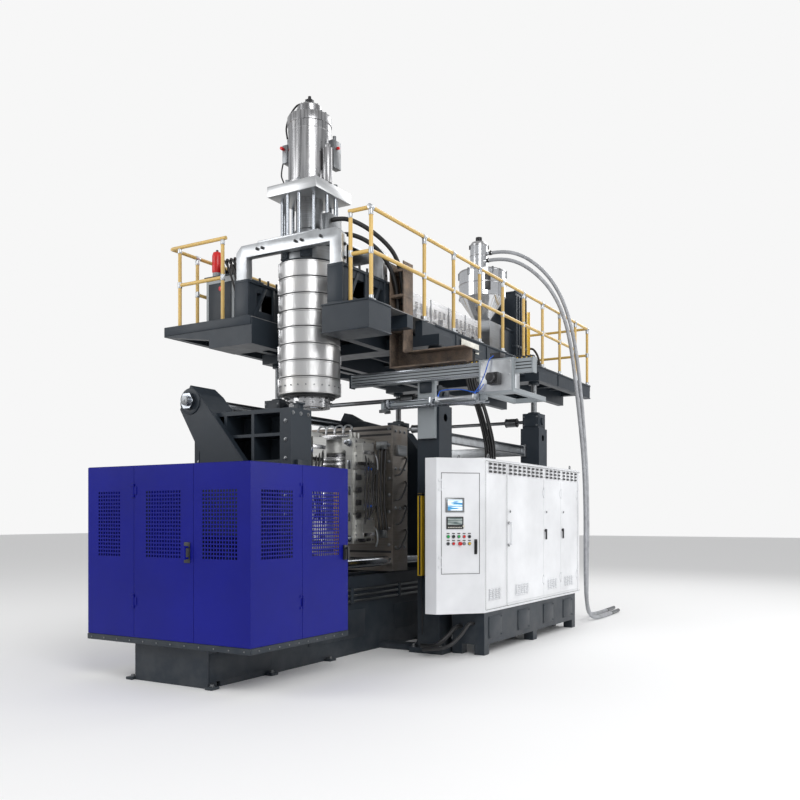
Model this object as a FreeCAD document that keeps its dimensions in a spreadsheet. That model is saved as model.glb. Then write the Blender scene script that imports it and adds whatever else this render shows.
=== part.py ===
"""Accumulator-head blow moulding machine for large drums, as a parametric document.

Frame: origin on the floor straight below the head, +Z up, +Y from the head towards
the drive motor, +X towards the electrical cabinet. All sizes are in millimetres.
"""
import FreeCAD, Part
import math
import os
import re
import Sketcher

V = FreeCAD.Vector

# ---------------------------------------------------------------- driving dimensions
SIZES = {
    # general clearances and plate thicknesses
    "seat_gap": 0.3, "fit_gap": 0.05, "sheet_wall": 4, "tube_wall": 10,
    # bed of the clamp
    "bed_half": 450, "bed_front": -2070, "bed_step": -1180, "bed_back": 2900,
    "bed_low_top": 353, "bed_top": 850, "bed_wall": 25, "groove_from": -1960, "groove_to": -1915,
    "groove_deep": 40,
    "rail_inner": 300, "rail_wide": 60, "rail_tall": 30, "rail_front": -1200, "rail_back": 2150,
    # platens and moulds
    "platen_half": 620, "platen_deep": 330, "platen_plate": 60, "platen_top": 2545,
    "platen_flange": 40, "platen_face": 800, "platen_rib": 35, "platen_post": 130,
    "rib_left": -200, "rib_right": 153, "rib_pitch": 260, "rib_first": 1010, "rib_flat": 30,
    "mould_half": 380, "mould_low": 1200, "mould_high": 2380, "mould_open": 280,
    "cavity_rad": 290, "cavity_low": 1345, "cavity_high": 2235, "cavity_neck": 235,
    "mould_step": 60, "slide_wide": 90, "slide_deep": 230, "slide_tall": 210, "slide_inset": 60,
    "fitting_rad": 18, "fitting_tall": 70, "fitting_pitch": 75, "fitting_inset": 90,
    # tie bars, arm and yoke
    "bar_rad": 55, "low_bar_out": 530, "low_bar_up": 1000, "top_bar_out": -610,
    "top_bar_up": 2675, "arm_front": -1200, "arm_back": -840, "arm_low": 1300,
    "arm_left": -490, "arm_right": 90, "arm_bend": 2060, "arm_elbow": 2160, "arm_top": 2745,
    "arm_cheek": 165, "arm_nose": 145, "arm_chin": 75, "thread_out": 25, "bar_tail": 30,
    "nut_rad": 88, "nut_long": 58, "yoke_front": 1560, "yoke_deep": 190,
    "yoke_right_up": 2150, "yoke_left_up": 2300, "yoke_slope": 300, "yoke_slope_up": 2545,
    "yoke_neck": -430,
    "rod_rad": 70, "rod_out": 1655, "barrel_rad": 165, "barrel_inner": 130, "barrel_long": 760,
    "cap_thick": 60, "rod_long": 1290, "piston_long": 80,
    # blow pin
    "pin_rad": 40, "pin_low": 640, "pin_high": 1120, "pin_guide": 80, "pin_guide_low": 600,
    # columns, gearboxes and jack screws
    "col_in": 975, "col_wide": 272, "col_deep": 300, "col_front": 690, "col_rear": 3600,
    "foot_tall": 60, "foot_over": 70, "col_top": 2690, "col_cap": 40, "hand_hole": 45,
    "box_tall": 210, "box_inset": 20, "jack_rad": 40, "jack_low": 2430,
    "shaft_rad": 24, "shaft_up": 2835, "shaft_in": 30, "coupling_rad": 60, "coupling_long": 150,
    "side_low": 2360, "side_high": 2480, "side_wide": 60,
    # light curtains
    "curtain_out": 1035, "curtain_wide": 55, "curtain_deep": 60, "curtain_low": 830,
    "curtain_high": 1760,
    # guard
    "guard_left": -960, "guard_right": 1025, "guard_front": -2180, "guard_back": -756,
    "guard_low": 353, "guard_skirt": 410, "guard_top": 1960, "guard_post": 40,
    "seam_left": -344, "seam_right": 387, "seam_side": -1477, "door_gap": 4,
    "hole_pitch": 33.5, "hole_wide": 21, "window_low": 1140, "window_rows": 18,
    "hinge_low": 700, "hinge_high": 1700, "hinge_tall": 75, "hinge_wide": 36, "hinge_leaf": 6,
    "knuckle_rad": 6, "knuckle_tall": 25, "knuckle_play": 1, "hinge_pin": 3,
    "handle_rad": 11, "handle_out": 45, "handle_low": 1130, "handle_high": 1250,
    # electrical cabinet
    "cab_back": 1250, "cab_turn": 1386, "cab_side": 1756, "cab_front": 370, "cab_bend": 764,
    "cab_end": 3800, "cab_low": 466, "cab_top": 2127, "cab_wall": 8, "door_thick": 6,
    "door_a": 1340, "door_b": 2480, "door_c": 3080, "door_d": 3700, "door_lap": 25,
    "door_low": 520, "door_high": 1990, "cab_hinge_low": 680, "cab_hinge_high": 1760,
    "hinge_inset": 4.5, "lug_wide": 5.5,
    "tank_back": 1340, "tank_side": 1730, "tank_front": 820, "tank_end": 3700, "tank_low": 110,
    "tank_foot": 60,
    # control panel on the chamfered corner, measured along the chamfer
    "panel_from": 60, "panel_to": 480, "panel_low": 900, "panel_high": 1960, "panel_edge": 2,
    "panel_hinge_low": 980, "panel_hinge_high": 1800,
    "screen_from": 110, "screen_to": 300, "screen_low": 1560, "screen_high": 1690,
    "meter_low": 1370, "meter_high": 1500, "button_up": 1290, "button_rad": 15,
    "stop_rad": 20, "button_out": 14, "stop_out": 26, "button_travel": 5,
    # platform
    "plat_low": 3390, "plat_top": 3680, "plat_front": -420, "plat_back": 6400,
    "plat_edge": 1035, "plat_left": -1090, "walk_edge": -1780, "edge_low": 3470, "edge_wide": 90,
    "beam_in": 470, "beam_wide": 100, "shoe_back": 0, "recess_back": 360, "deck_thick": 6,
    "cross_beam": 120, "cross_tall": 140, "bracket_end": 1260,
    "bracket_front": 1520, "bracket_back": 1740, "bracket_thick": 12, "walk_tall": 90,
    "walk_root": 200, "shoe_extra": 15,
    # head supports
    "sup_in": 550, "sup_out": 700, "sup_high": 4100, "sup_front": -400, "sup_back": 800,
    "sup_portal": 140, "sup_window": 260, "sup_margin": 110, "window_first": 160,
    "window_next": 560,
    "portal_top": 4470, "portal_bar": 130, "portal_deep": 90, "portal_chamfer": 70,
    "portal_rear": 400, "top_plate": 20, "top_plate_half": 400,
    # head
    "head_rad": 300, "head_low": 2825, "band_out": 340, "band_top": 4250, "band_count": 8,
    "band_gap": 8, "die_rad": 226, "die_low": 2690, "die_high": 2800, "ring_rad": 275,
    "die_bore": 150, "stem_rad": 60, "stem_high": 3800, "ram_rad": 58, "ram_bore_low": 4020,
    "guide_rad": 19, "guide_circle": 300, "guide_count": 12, "cross_low": 4970,
    "cross_high": 5090, "cross_half": 330, "ram_outer": 233, "ram_inner": 180, "ram_high": 5880,
    "ram_cap_rad": 135, "ram_cap_high": 6010, "ram_tip_rad": 42, "ram_tip_high": 6130,
    "ram_rod_high": 5230, "ram_rod_low": 4030,
    # extruder line
    "screw_up": 4190, "barrel_out": 110, "neck_rad": 90, "barrel_bore": 62,
    "barrel_end": 4180, "screw_rad": 60, "flight_long": 40, "flight_pitch": 240, "flight_count": 15,
    "cover_half": 190, "cover_from": 900, "cover_to": 3950, "cover_wall": 3,
    "feed_mid": 4410, "feed_half": 230, "feed_high": 4450, "feed_port": 95,
    "gear_from": 4640, "gear_mid": 4920, "gear_to": 5350, "gear_half": 330, "gear_high": 5040,
    "belt_from": 5352, "belt_to": 5560, "belt_half": 300, "belt_high": 4830, "belt_wall": 3,
    "motor_rad": 260, "motor_up": 4000, "motor_from": 5563, "motor_to": 6180,
    "blower_rad": 130, "blower_wide": 120,
    "hop_rad": 357, "hop_low": 4840, "hop_high": 5240, "hop_wall": 4,
    "load_rad": 135, "load_low": 5300, "load_high": 5680, "load_out": -60,
    # railings
    "pipe_rad": 21, "rail_up": 4630, "mid_up": 4190, "post_first": 780, "post_pitch": 710,
    "rail_right": 1010, "rail_front": -320, "rail_front_left": -340, "gate_post": 60,
    "left_gate": 260, "left_inset": 130, "rail_left": -1750, "rail_end": 6330,
    "collar_rad": 36, "collar_tall": 12,
    # walkway units
    "box_from": 120, "box_to": 620, "box_left": -1640, "box_right": -1200, "box_high": 4380,
    "flask_rad": 55, "flask_tall": 300, "pump_rad": 110, "pump_tall": 420,
    # tray and take-out
    "tray_front": 500, "tray_back": 690, "tray_in": 730, "tray_mid": 910, "tray_out": 1650,
    "tray_low": 3145, "tray_flat": 3310, "tray_high": 4310, "tray_wall": 4,
    "take_in": 170, "take_out": 2390, "take_front": 560, "take_back": 640, "take_low": 2980,
    "take_high": 3120, "carriage_in": 1810, "carriage_out": 2200, "grip_in": 660,
    "grip_out": 1890, "grip_up": 2740, "grip_rad": 22, "frame_back": 1380,
    # hoses and cables
    "hose_rad": 27, "head_hose_rad": 24, "cable_rad": 11, "lance_long": 420,
}

doc = FreeCAD.newDocument("BlowMouldingMachine")
sheet = doc.addObject("Spreadsheet::Sheet", "Sizes")
for row, (alias, value) in enumerate(SIZES.items(), start=1):
    sheet.set(f"A{row}", alias)
    sheet.set(f"B{row}", str(value))
    sheet.setAlias(f"B{row}", alias)
doc.recompute()

NODES = []


# ---------------------------------------------------------------- building helpers
def formula(text):
    """Turn a formula of plain size names into one that reads the sheet."""
    return re.sub(r"[a-z][a-z_]*", lambda m: "Sizes." + m[0] if m[0] in SIZES else m[0], str(text))


def value_of(text):
    """The present value of a formula, in millimetres or as a plain number."""
    result = sheet.evalExpression(formula(text))
    return float(getattr(result, "Value", result))


def bind(thing, **formulas):
    """Tie properties of one object to formulas of the sheet's sizes."""
    for prop, text in formulas.items():
        thing.setExpression(prop, formula(text))
    return thing


def place(thing, x, y, z, turn=None):
    """Put an object at three formulas, turned by a fixed rotation if one is given."""
    if turn:
        thing.Placement = FreeCAD.Placement(V(), turn)
    for axis, text in zip("xyz", (x, y, z)):
        thing.setExpression(f"Placement.Base.{axis}", formula(text))
    return thing


def box(x0, x1, y0, y1, z0, z1):
    """A block between two corners, each coordinate a formula."""
    block = doc.addObject("Part::Box", "Block")
    bind(block, Length=f"({x1}) - ({x0})", Width=f"({y1}) - ({y0})", Height=f"({z1}) - ({z0})")
    return place(block, x0, y0, z0)


TURNS = {
    "X": FreeCAD.Rotation(V(0, 1, 0), 90),
    "Y": FreeCAD.Rotation(V(1, 0, 0), -90),
    "Z": FreeCAD.Rotation(),
}


def rod(axis, x, y, z, radius, length):
    """A round bar that starts at a point and runs along +X, +Y or +Z."""
    bar = doc.addObject("Part::Cylinder", "Bar")
    bind(bar, Radius=radius, Height=length)
    return place(bar, x, y, z, TURNS[axis])


def cone(x, y, z, low_radius, high_radius, length):
    """An upright cone frustum."""
    frustum = doc.addObject("Part::Cone", "Cone")
    bind(frustum, Radius1=low_radius, Radius2=high_radius, Height=length)
    return place(frustum, x, y, z)


def hexagon(x, y, z, radius, length):
    """A hexagonal bar along +Y."""
    prism = doc.addObject("Part::Prism", "Hexagon")
    prism.Polygon = 6
    bind(prism, Circumradius=radius, Height=length)
    return place(prism, x, y, z, TURNS["Y"])


def fuse(*parts, refine=True):
    """One solid from several that meet."""
    joined = doc.addObject("Part::MultiFuse", "Joined")
    joined.Shapes = list(parts)
    joined.Refine = refine
    return joined


def cut(base, *tools):
    """A solid less one or more tools."""
    result = doc.addObject("Part::Cut", "Trimmed")
    result.Base = base
    result.Tool = tools[0] if len(tools) == 1 else fuse(*tools)
    return result


def group(*parts):
    """Several separate solids that are one sub-part."""
    together = doc.addObject("Part::Compound", "Together")
    together.Links = list(parts)
    return together


def tube(axis, x, y, z, outer, inner, length):
    """A round tube that starts at a point and runs along an axis."""
    return cut(rod(axis, x, y, z, outer, length), rod(axis, x, y, z, inner, length))


def outline(plane, points, start, depth):
    """A padded polygon: points are pairs of formulas in the plane's two axes.

    plane is XY, XZ or YZ, start is where the pad begins along the third axis.
    """
    body = doc.addObject("PartDesign::Body", "Plate")
    origin_plane = next(f for f in body.Origin.OriginFeatures if f.Role == f"{plane}_Plane")
    sketch = body.newObject("Sketcher::SketchObject", "Outline")
    sketch.AttachmentSupport = [(origin_plane, "")]
    sketch.MapMode = "FlatFace"
    corners = [V(value_of(a), value_of(b), 0) for a, b in points]
    for here, there in zip(corners, corners[1:] + corners[:1]):
        sketch.addGeometry(Part.LineSegment(here, there))
    count = len(corners)
    for i in range(count):
        sketch.addConstraint(Sketcher.Constraint("Coincident", i, 2, (i + 1) % count, 1))
    for i, pair in enumerate(points):
        for kind, text in zip(("DistanceX", "DistanceY"), pair):
            index = sketch.addConstraint(Sketcher.Constraint(kind, -1, 1, i, 1, value_of(text)))
            sketch.setExpression(f"Constraints[{index}]", formula(text))
    # the XZ plane's normal points along -Y, the other two along their positive axis
    backwards = plane == "XZ"
    offset = f"-({start})" if backwards else start
    sketch.setExpression("AttachmentOffset.Base.z", formula(offset))
    pad = body.newObject("PartDesign::Pad", "Pad")
    pad.Profile = sketch
    pad.Reversed = backwards
    bind(pad, Length=depth)
    return body


def turned(profile, x="0", y="0"):
    """A solid turned about an upright axis from (radius, height) formulas."""
    body = doc.addObject("PartDesign::Body", "Turned")
    plane = next(f for f in body.Origin.OriginFeatures if f.Role == "XZ_Plane")
    upright = next(f for f in body.Origin.OriginFeatures if f.Role == "Z_Axis")
    sketch = body.newObject("Sketcher::SketchObject", "Profile")
    sketch.AttachmentSupport = [(plane, "")]
    sketch.MapMode = "FlatFace"
    corners = [V(value_of(a), value_of(b), 0) for a, b in profile]
    for here, there in zip(corners, corners[1:] + corners[:1]):
        sketch.addGeometry(Part.LineSegment(here, there))
    count = len(corners)
    for i in range(count):
        sketch.addConstraint(Sketcher.Constraint("Coincident", i, 2, (i + 1) % count, 1))
    for i, pair in enumerate(profile):
        for kind, text in zip(("DistanceX", "DistanceY"), pair):
            index = sketch.addConstraint(Sketcher.Constraint(kind, -1, 1, i, 1, value_of(text)))
            sketch.setExpression(f"Constraints[{index}]", formula(text))
    spin = body.newObject("PartDesign::Revolution", "Spin")
    spin.Profile = sketch
    spin.ReferenceAxis = (upright, [""])
    spin.Angle = 360
    return place(body, x, y, "0")


def node(name, thing):
    """Name a finished sub-part; its label becomes its file name."""
    thing.Label = name
    NODES.append(thing)
    return thing


def mirrored_x(build):
    """Build the same piece at +1 and -1 along X."""
    return [build(side) for side in (1, -1)]


# ---------------------------------------------------------------- bed and rails
def clamp_base():
    """Hollow welded bed with a low front block for the guard, and two guide rails on top."""
    high = cut(
        box("-bed_half", "bed_half", "bed_step", "bed_back", "0", "bed_top"),
        box("bed_wall - bed_half", "bed_half - bed_wall", "bed_step - 1", "bed_back + 1",
            "bed_wall", "bed_top - bed_wall"),
    )
    low = box("-bed_half", "bed_half", "bed_front", "bed_step", "0", "bed_low_top")
    hollow = box("bed_wall - bed_half", "bed_half - bed_wall", "bed_front + bed_wall * 4",
                 "bed_step + 1", "bed_wall", "bed_low_top - bed_wall")
    guide = rod("Z", "0", "0", "pin_guide_low", "pin_guide", "bed_top - pin_guide_low")
    bore = rod("Z", "0", "0", "pin_guide_low - 1", "pin_rad + seat_gap",
               "bed_top - pin_guide_low + 2")
    grooves = [
        box(f"{side} * bed_half - groove_deep", f"{side} * bed_half + groove_deep",
            "groove_from", "groove_to", "-1", "bed_low_top + 1")
        for side in (1, -1)
    ]
    foot_line = "col_in - foot_over"
    tie = box(f"-({foot_line})", foot_line, "col_front + 40", "col_front + col_deep - 40", "0",
              "foot_tall")
    bed = cut(fuse(high, low, guide, tie), hollow, bore, *grooves)
    rails = mirrored_x(lambda s: box(
        f"{s} * (rail_inner + rail_wide / 2) - rail_wide / 2",
        f"{s} * (rail_inner + rail_wide / 2) + rail_wide / 2",
        "rail_front", "rail_back", "bed_top", "bed_top + rail_tall"))
    return node("clamp_base", group(bed, *rails))


# ---------------------------------------------------------------- platens and moulds
PLATEN_LOW = "bed_top + rail_tall + seat_gap"


def platen(name, face, away, bar_gap):
    """A ribbed platen: a solid block with open pockets between its ribs.

    face is the machined side's Y, away is -1 or +1 towards the ribbed back.
    """
    far = f"({face}) + ({away}) * platen_deep"
    ends = (far, face) if away < 0 else (face, far)
    block = box("-platen_half", "platen_half", *ends, PLATEN_LOW, "platen_top")
    plate_back = f"({face}) + ({away}) * platen_plate"
    past = f"({far}) + ({away})"
    depth = (past, plate_back) if away < 0 else (plate_back, past)
    columns = [
        ("platen_post - platen_half", "rib_left - platen_rib / 2"),
        ("rib_left + platen_rib / 2", "rib_right - platen_rib / 2"),
        ("rib_right + platen_rib / 2", "platen_half - platen_post"),
    ]
    pockets = []
    for low_x, high_x in columns:
        for step in range(6):
            low_z = f"rib_first + {step} * rib_pitch"
            top = "platen_top - platen_flange" if step == 5 else f"{low_z} + rib_pitch - rib_flat"
            pockets.append(box(low_x, high_x, *depth, low_z, top))
    holes = [
        rod("Y", f"{side} * low_bar_out", f"({ends[0]}) - 1", "low_bar_up",
            f"bar_rad + {bar_gap}", "platen_deep + 2")
        for side in (1, -1)
    ]
    return node(name, cut(block, *pockets, *holes))


def mould(name, side):
    """Half of a drum mould, its cavity open at the parting face."""
    near, far = f"{side} * mould_open", f"{side} * platen_face"
    if side < 0:
        block = box("-mould_half", "mould_half", far, near, "mould_low", "mould_high")
    else:
        block = box("-mould_half", "mould_half", near, "platen_face - mould_step",
                    "mould_low", "mould_high")
    cavity = rod("Z", "0", near, "cavity_low", "cavity_rad", "cavity_high - cavity_low")
    neck = rod("Z", "0", near, "cavity_high - 1", "cavity_neck", "mould_high - cavity_high + 2")
    pin_way = rod("Z", "0", near, "mould_low - 1", "pin_rad + 1", "cavity_low - mould_low + 2")
    return node(name, group(cut(block, cavity, neck, pin_way), *mould_slides(side)))


def mould_slides(side):
    """Actuator blocks and water fittings on the mould's operator side."""
    middle = f"{side} * (mould_open + slide_deep / 2 + slide_inset)"
    parts = []
    for low in ("mould_low + slide_inset", "mould_high - slide_tall - slide_inset"):
        parts.append(box("mould_half", "mould_half + slide_wide", f"({middle}) - slide_deep / 2",
                         f"({middle}) + slide_deep / 2", low, f"{low} + slide_tall"))
    for step in (-1, 0, 1):
        parts.append(rod("Z", "mould_half - fitting_inset", f"({middle}) + {step} * fitting_pitch",
                         "mould_high", "fitting_rad", "fitting_tall"))
    return parts


def tie_bars():
    """Two low bars and one high bar that join the front platen to the rear yoke, with nuts."""
    back = "yoke_front + yoke_deep + nut_long + bar_tail"
    bars = [
        rod("Y", f"{side} * low_bar_out", "-platen_face - platen_deep - nut_long - thread_out",
            "low_bar_up", "bar_rad", f"{back} + platen_face + platen_deep + nut_long + thread_out")
        for side in (1, -1)
    ]
    bars.append(rod("Y", "top_bar_out", "arm_front - nut_long - thread_out", "top_bar_up",
                    "bar_rad", f"{back} - arm_front + nut_long + thread_out"))
    return node("tie_bars", group(*bars, *tie_bar_nuts()))


def ring_nut(x, y, z):
    """A hexagonal nut around a bar along Y."""
    return cut(hexagon(x, y, z, "nut_rad", "nut_long"),
               rod("Y", x, f"({y}) - 1", z, "bar_rad", "nut_long + 2"))


def tie_bar_nuts():
    """Nuts at both ends of each bar."""
    back = "yoke_front + yoke_deep"
    low_front = "-platen_face - platen_deep - nut_long"
    nuts = [
        ring_nut(f"{side} * low_bar_out", end, "low_bar_up")
        for side in (1, -1) for end in (low_front, back)
    ]
    nuts += [ring_nut("top_bar_out", end, "top_bar_up") for end in ("arm_front - nut_long", back)]
    return nuts


def tie_bar_arm():
    """The bent box arm that carries the high bar outside the mould space."""
    arm = outline("XZ", [
        ("arm_left", "arm_low"), ("arm_right", "arm_low"), ("arm_right", "arm_bend"),
        ("arm_left", "arm_top"), ("top_bar_out", "top_bar_up + arm_cheek"),
        ("top_bar_out - arm_nose", "top_bar_up - arm_chin"), ("arm_left", "arm_elbow"),
    ], "arm_front", "arm_back - arm_front")
    platen_room = box("-platen_half", "platen_half", "-platen_face - platen_deep",
                      "arm_back + 1", "arm_low - 1", "platen_top")
    bore = rod("Y", "top_bar_out", "arm_front - 1", "top_bar_up", "bar_rad",
               "arm_back - arm_front + 2")
    return node("tie_bar_arm", cut(arm, platen_room, bore))


def rear_yoke():
    """The back plate that the clamp cylinder pushes against."""
    plate = outline("XZ", [
        ("-platen_half", PLATEN_LOW), ("platen_half", PLATEN_LOW),
        ("platen_half", "yoke_right_up"), ("yoke_slope", "yoke_slope_up"), ("yoke_neck", "arm_top"),
        ("top_bar_out", "top_bar_up + arm_cheek"),
        ("top_bar_out - arm_nose", "top_bar_up - arm_chin"), ("-platen_half", "yoke_left_up"),
    ], "yoke_front", "yoke_deep")
    holes = [rod("Y", f"{side} * low_bar_out", "yoke_front - 1", "low_bar_up", "bar_rad",
                 "yoke_deep + 2") for side in (1, -1)]
    holes.append(rod("Y", "top_bar_out", "yoke_front - 1", "top_bar_up", "bar_rad",
                     "yoke_deep + 2"))
    holes.append(rod("Y", "0", "yoke_front - 1", "rod_out", "rod_rad + fit_gap", "yoke_deep + 2"))
    return node("rear_yoke", cut(plate, *holes))


def clamp_cylinder():
    """Hydraulic barrel behind the yoke, closed by a cap."""
    start = "yoke_front + yoke_deep"
    barrel = tube("Y", "0", start, "rod_out", "barrel_rad", "barrel_inner", "barrel_long")
    cap = rod("Y", "0", f"{start} + barrel_long", "rod_out", "barrel_rad + 20", "cap_thick")
    return node("clamp_cylinder", fuse(barrel, cap))


def clamp_rod():
    """Piston rod fixed to the rear platen's back, with its piston."""
    back = "platen_face - mould_step + platen_deep"
    shaft = rod("Y", "0", back, "rod_out", "rod_rad", "rod_long")
    piston = rod("Y", "0", f"{back} + rod_long", "rod_out", "barrel_inner - fit_gap",
                 "piston_long")
    return node("clamp_rod", fuse(shaft, piston))


def blow_pin():
    """Calibrating pin that rises between the mould halves."""
    shaft = rod("Z", "0", "0", "pin_low", "pin_rad", "pin_high - pin_low - 60")
    tip = cone("0", "0", "pin_high - 60", "pin_rad", "pin_rad / 2", "60")
    return node("blow_pin", fuse(shaft, tip))


# ---------------------------------------------------------------- columns and jacks
CORNERS = [(side, row) for side in (1, -1) for row in ("col_front", "col_rear")]


def column_box(side, row, z0, z1, grow="0"):
    """A block over a column's section, grown sideways by a formula."""
    middle = f"{side} * (col_in + col_wide / 2)"
    return box(f"{middle} - col_wide / 2 - ({grow})", f"{middle} + col_wide / 2 + ({grow})",
               f"{row} - ({grow})", f"{row} + col_deep + ({grow})", z0, z1)


def jack_at(side, row, z, radius, length):
    """An upright bar on a column's centre line."""
    return rod("Z", f"{side} * (col_in + col_wide / 2)", f"{row} + col_deep / 2", z, radius,
               length)


def columns():
    """Four hollow square columns with foot plates and drilled caps, and their ties."""
    posts = []
    for side, row in CORNERS:
        outer = fuse(
            column_box(side, row, "0", "foot_tall", "foot_over"),
            column_box(side, row, "foot_tall", "col_top"),
            column_box(side, row, "col_top", "col_top + col_cap"),
        )
        inner = column_box(side, row, "foot_tall", "col_top", "-tube_wall")
        screw_hole = jack_at(side, row, "col_top - 1", "jack_rad + 4", "col_cap + 2")
        hand = rod("X", f"{side} * (col_in + col_wide / 2) - col_wide",
                   f"{row} + col_deep / 2", "col_top - 90", "hand_hole", "col_wide * 2")
        posts.append(cut(outer, inner, screw_hole, hand))
    return node("columns", group(*posts, *side_channels()))


def side_channels():
    """Long channels between the columns of each side, and a rear cross member."""
    channels = []
    for side in (1, -1):
        inner, outer = "col_in + 20", "col_in + 20 + side_wide"
        ends = (inner, outer) if side > 0 else (f"-({outer})", f"-({inner})")
        full = box(*ends, "col_front + col_deep", "col_rear", "side_low", "side_high")
        open_face = (f"{ends[0]} + 8", f"{ends[1]} + 1") if side > 0 else (
            f"{ends[0]} - 1", f"{ends[1]} - 8")
        trough = box(*open_face, "col_front + col_deep - 1", "col_rear + 1", "side_low + 10",
                     "side_high - 10")
        channels.append(cut(full, trough))
    channels.append(box("-col_in", "col_in", "col_rear + 90", "col_rear + 90 + side_wide",
                        "side_low", "side_high"))
    return channels


def jack_gearboxes():
    """Worm gearboxes on the column caps, bored for the screw and the cross shaft."""
    boxes = []
    for side, row in CORNERS:
        low = "col_top + col_cap"
        case = column_box(side, row, low, f"{low} + box_tall", "-box_inset")
        collar = jack_at(side, row, f"{low} + box_tall - 1", "jack_rad + 30", "26")
        bore = jack_at(side, row, f"{low} - 1", "jack_rad + seat_gap", "box_tall + 40")
        face = f"{side} * (col_in + box_inset + shaft_in / 2) - shaft_in / 2 - 1"
        socket = rod("X", face, f"{row} + col_deep / 2", "shaft_up", "shaft_rad + fit_gap",
                     "shaft_in + 2")
        boxes.append(cut(fuse(case, collar), bore, socket))
    return node("jack_gearboxes", group(*boxes))


def jack_screws():
    """Lifting screws that hang from the platform into the columns."""
    screws = [jack_at(side, row, "jack_low", "jack_rad", "plat_low - jack_low")
              for side, row in CORNERS]
    return node("jack_screws", group(*screws))


def cross_shafts():
    """Shafts that tie the gearboxes of each column pair, with their couplings."""
    shafts = []
    reach = "col_in + box_inset + shaft_in"
    for row in ("col_front", "col_rear"):
        line = rod("X", f"-({reach})", f"{row} + col_deep / 2", "shaft_up", "shaft_rad",
                   f"2 * ({reach})")
        sleeves = [rod("X", f"{spot} - coupling_long / 2", f"{row} + col_deep / 2", "shaft_up",
                       "coupling_rad", "coupling_long") for spot in ("-col_in + 200", "col_in - 200")]
        shafts.append(fuse(line, *sleeves))
    return node("cross_shafts", group(*shafts))


def light_curtains():
    """Slim safety bars on the front columns' outer edges and inside the guard."""
    bars = [
        box(f"{side} * curtain_out - curtain_wide / 2", f"{side} * curtain_out + curtain_wide / 2",
            "col_front - curtain_deep", "col_front", "curtain_low", "curtain_high")
        for side in (1, -1)
    ]
    bars += [
        box(x, f"{x} + curtain_wide", "guard_back - 40 - curtain_deep", "guard_back - 40",
            "curtain_low", "curtain_high")
        for x in ("guard_right - guard_post - curtain_wide", "guard_left + guard_post")
    ]
    return node("light_curtains", group(*bars))


# ---------------------------------------------------------------- guard
def guard_frame():
    """Square-tube frame with a skirt and cross beams on the bed's low block."""
    left, right = "guard_left + sheet_wall", "guard_right - sheet_wall"
    front = "guard_front + sheet_wall"
    posts = []
    for x in (left, "seam_left - guard_post / 2", "seam_right - guard_post / 2",
              f"{right} - guard_post"):
        posts.append(box(x, f"{x} + guard_post", front, f"{front} + guard_post",
                         "guard_low", "guard_top"))
    for y in ("seam_side - guard_post / 2", "guard_back - guard_post"):
        for x in (left, f"{right} - guard_post"):
            posts.append(box(x, f"{x} + guard_post", y, f"{y} + guard_post",
                             "guard_low", "guard_top"))
    for low, high in (("guard_low", "guard_skirt"), ("guard_top - guard_post", "guard_top")):
        posts.append(box(left, right, front, f"{front} + guard_post", low, high))
        for x in (left, f"{right} - guard_post"):
            posts.append(box(x, f"{x} + guard_post", front, "guard_back", low, high))
    for x0, x1 in ((left, "-bed_half"), ("bed_half", right)):
        posts.append(box(x0, x1, "guard_back - guard_post", "guard_back", "guard_low",
                         "guard_skirt"))
    return node("guard_frame", fuse(*posts, refine=False))


def perforated(normal, low, high, face, window_mid, columns_of_holes):
    """A sheet panel with a window of square holes, built from one holed face.

    Thousands of equal holes are one extruded face, which a pattern of cuts is not suited to.
    normal is Y or X, low and high bound the panel along the other level axis.
    """
    a, b = value_of(low), value_of(high)
    z0, z1 = value_of("guard_skirt"), value_of("guard_top")
    level, wall = value_of(face), value_of("sheet_wall")
    pitch, hole = value_of("hole_pitch"), value_of("hole_wide")
    middle, base = value_of(window_mid), value_of("window_low")

    def rectangle(u0, u1, v0, v1):
        """A closed wire in the panel's own plane."""
        ring = [(u0, v0), (u1, v0), (u1, v1), (u0, v1), (u0, v0)]
        if normal == "Y":
            return Part.makePolygon([V(u, level, v) for u, v in ring])
        return Part.makePolygon([V(level, u, v) for u, v in ring])

    wires = [rectangle(a, b, z0, z1)]
    for col in range(columns_of_holes):
        u = middle + (col - (columns_of_holes - 1) / 2) * pitch
        for row_of_holes in range(int(value_of("window_rows"))):
            v = base + row_of_holes * pitch
            wires.append(rectangle(u - hole / 2, u + hole / 2, v, v + hole))
    face_shape = Part.Face(wires[0])
    holes = Part.Compound([Part.Face(w) for w in wires[1:]])
    sheet_face = face_shape.cut(holes).Faces[0]
    return sheet_face.extrude(V(0, wall, 0) if normal == "Y" else V(wall, 0, 0))


def feature(shape):
    """A plain feature that holds a shape made with Part's own functions."""
    holder = doc.addObject("Part::Feature", "Sheet")
    holder.Shape = shape
    return holder


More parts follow.
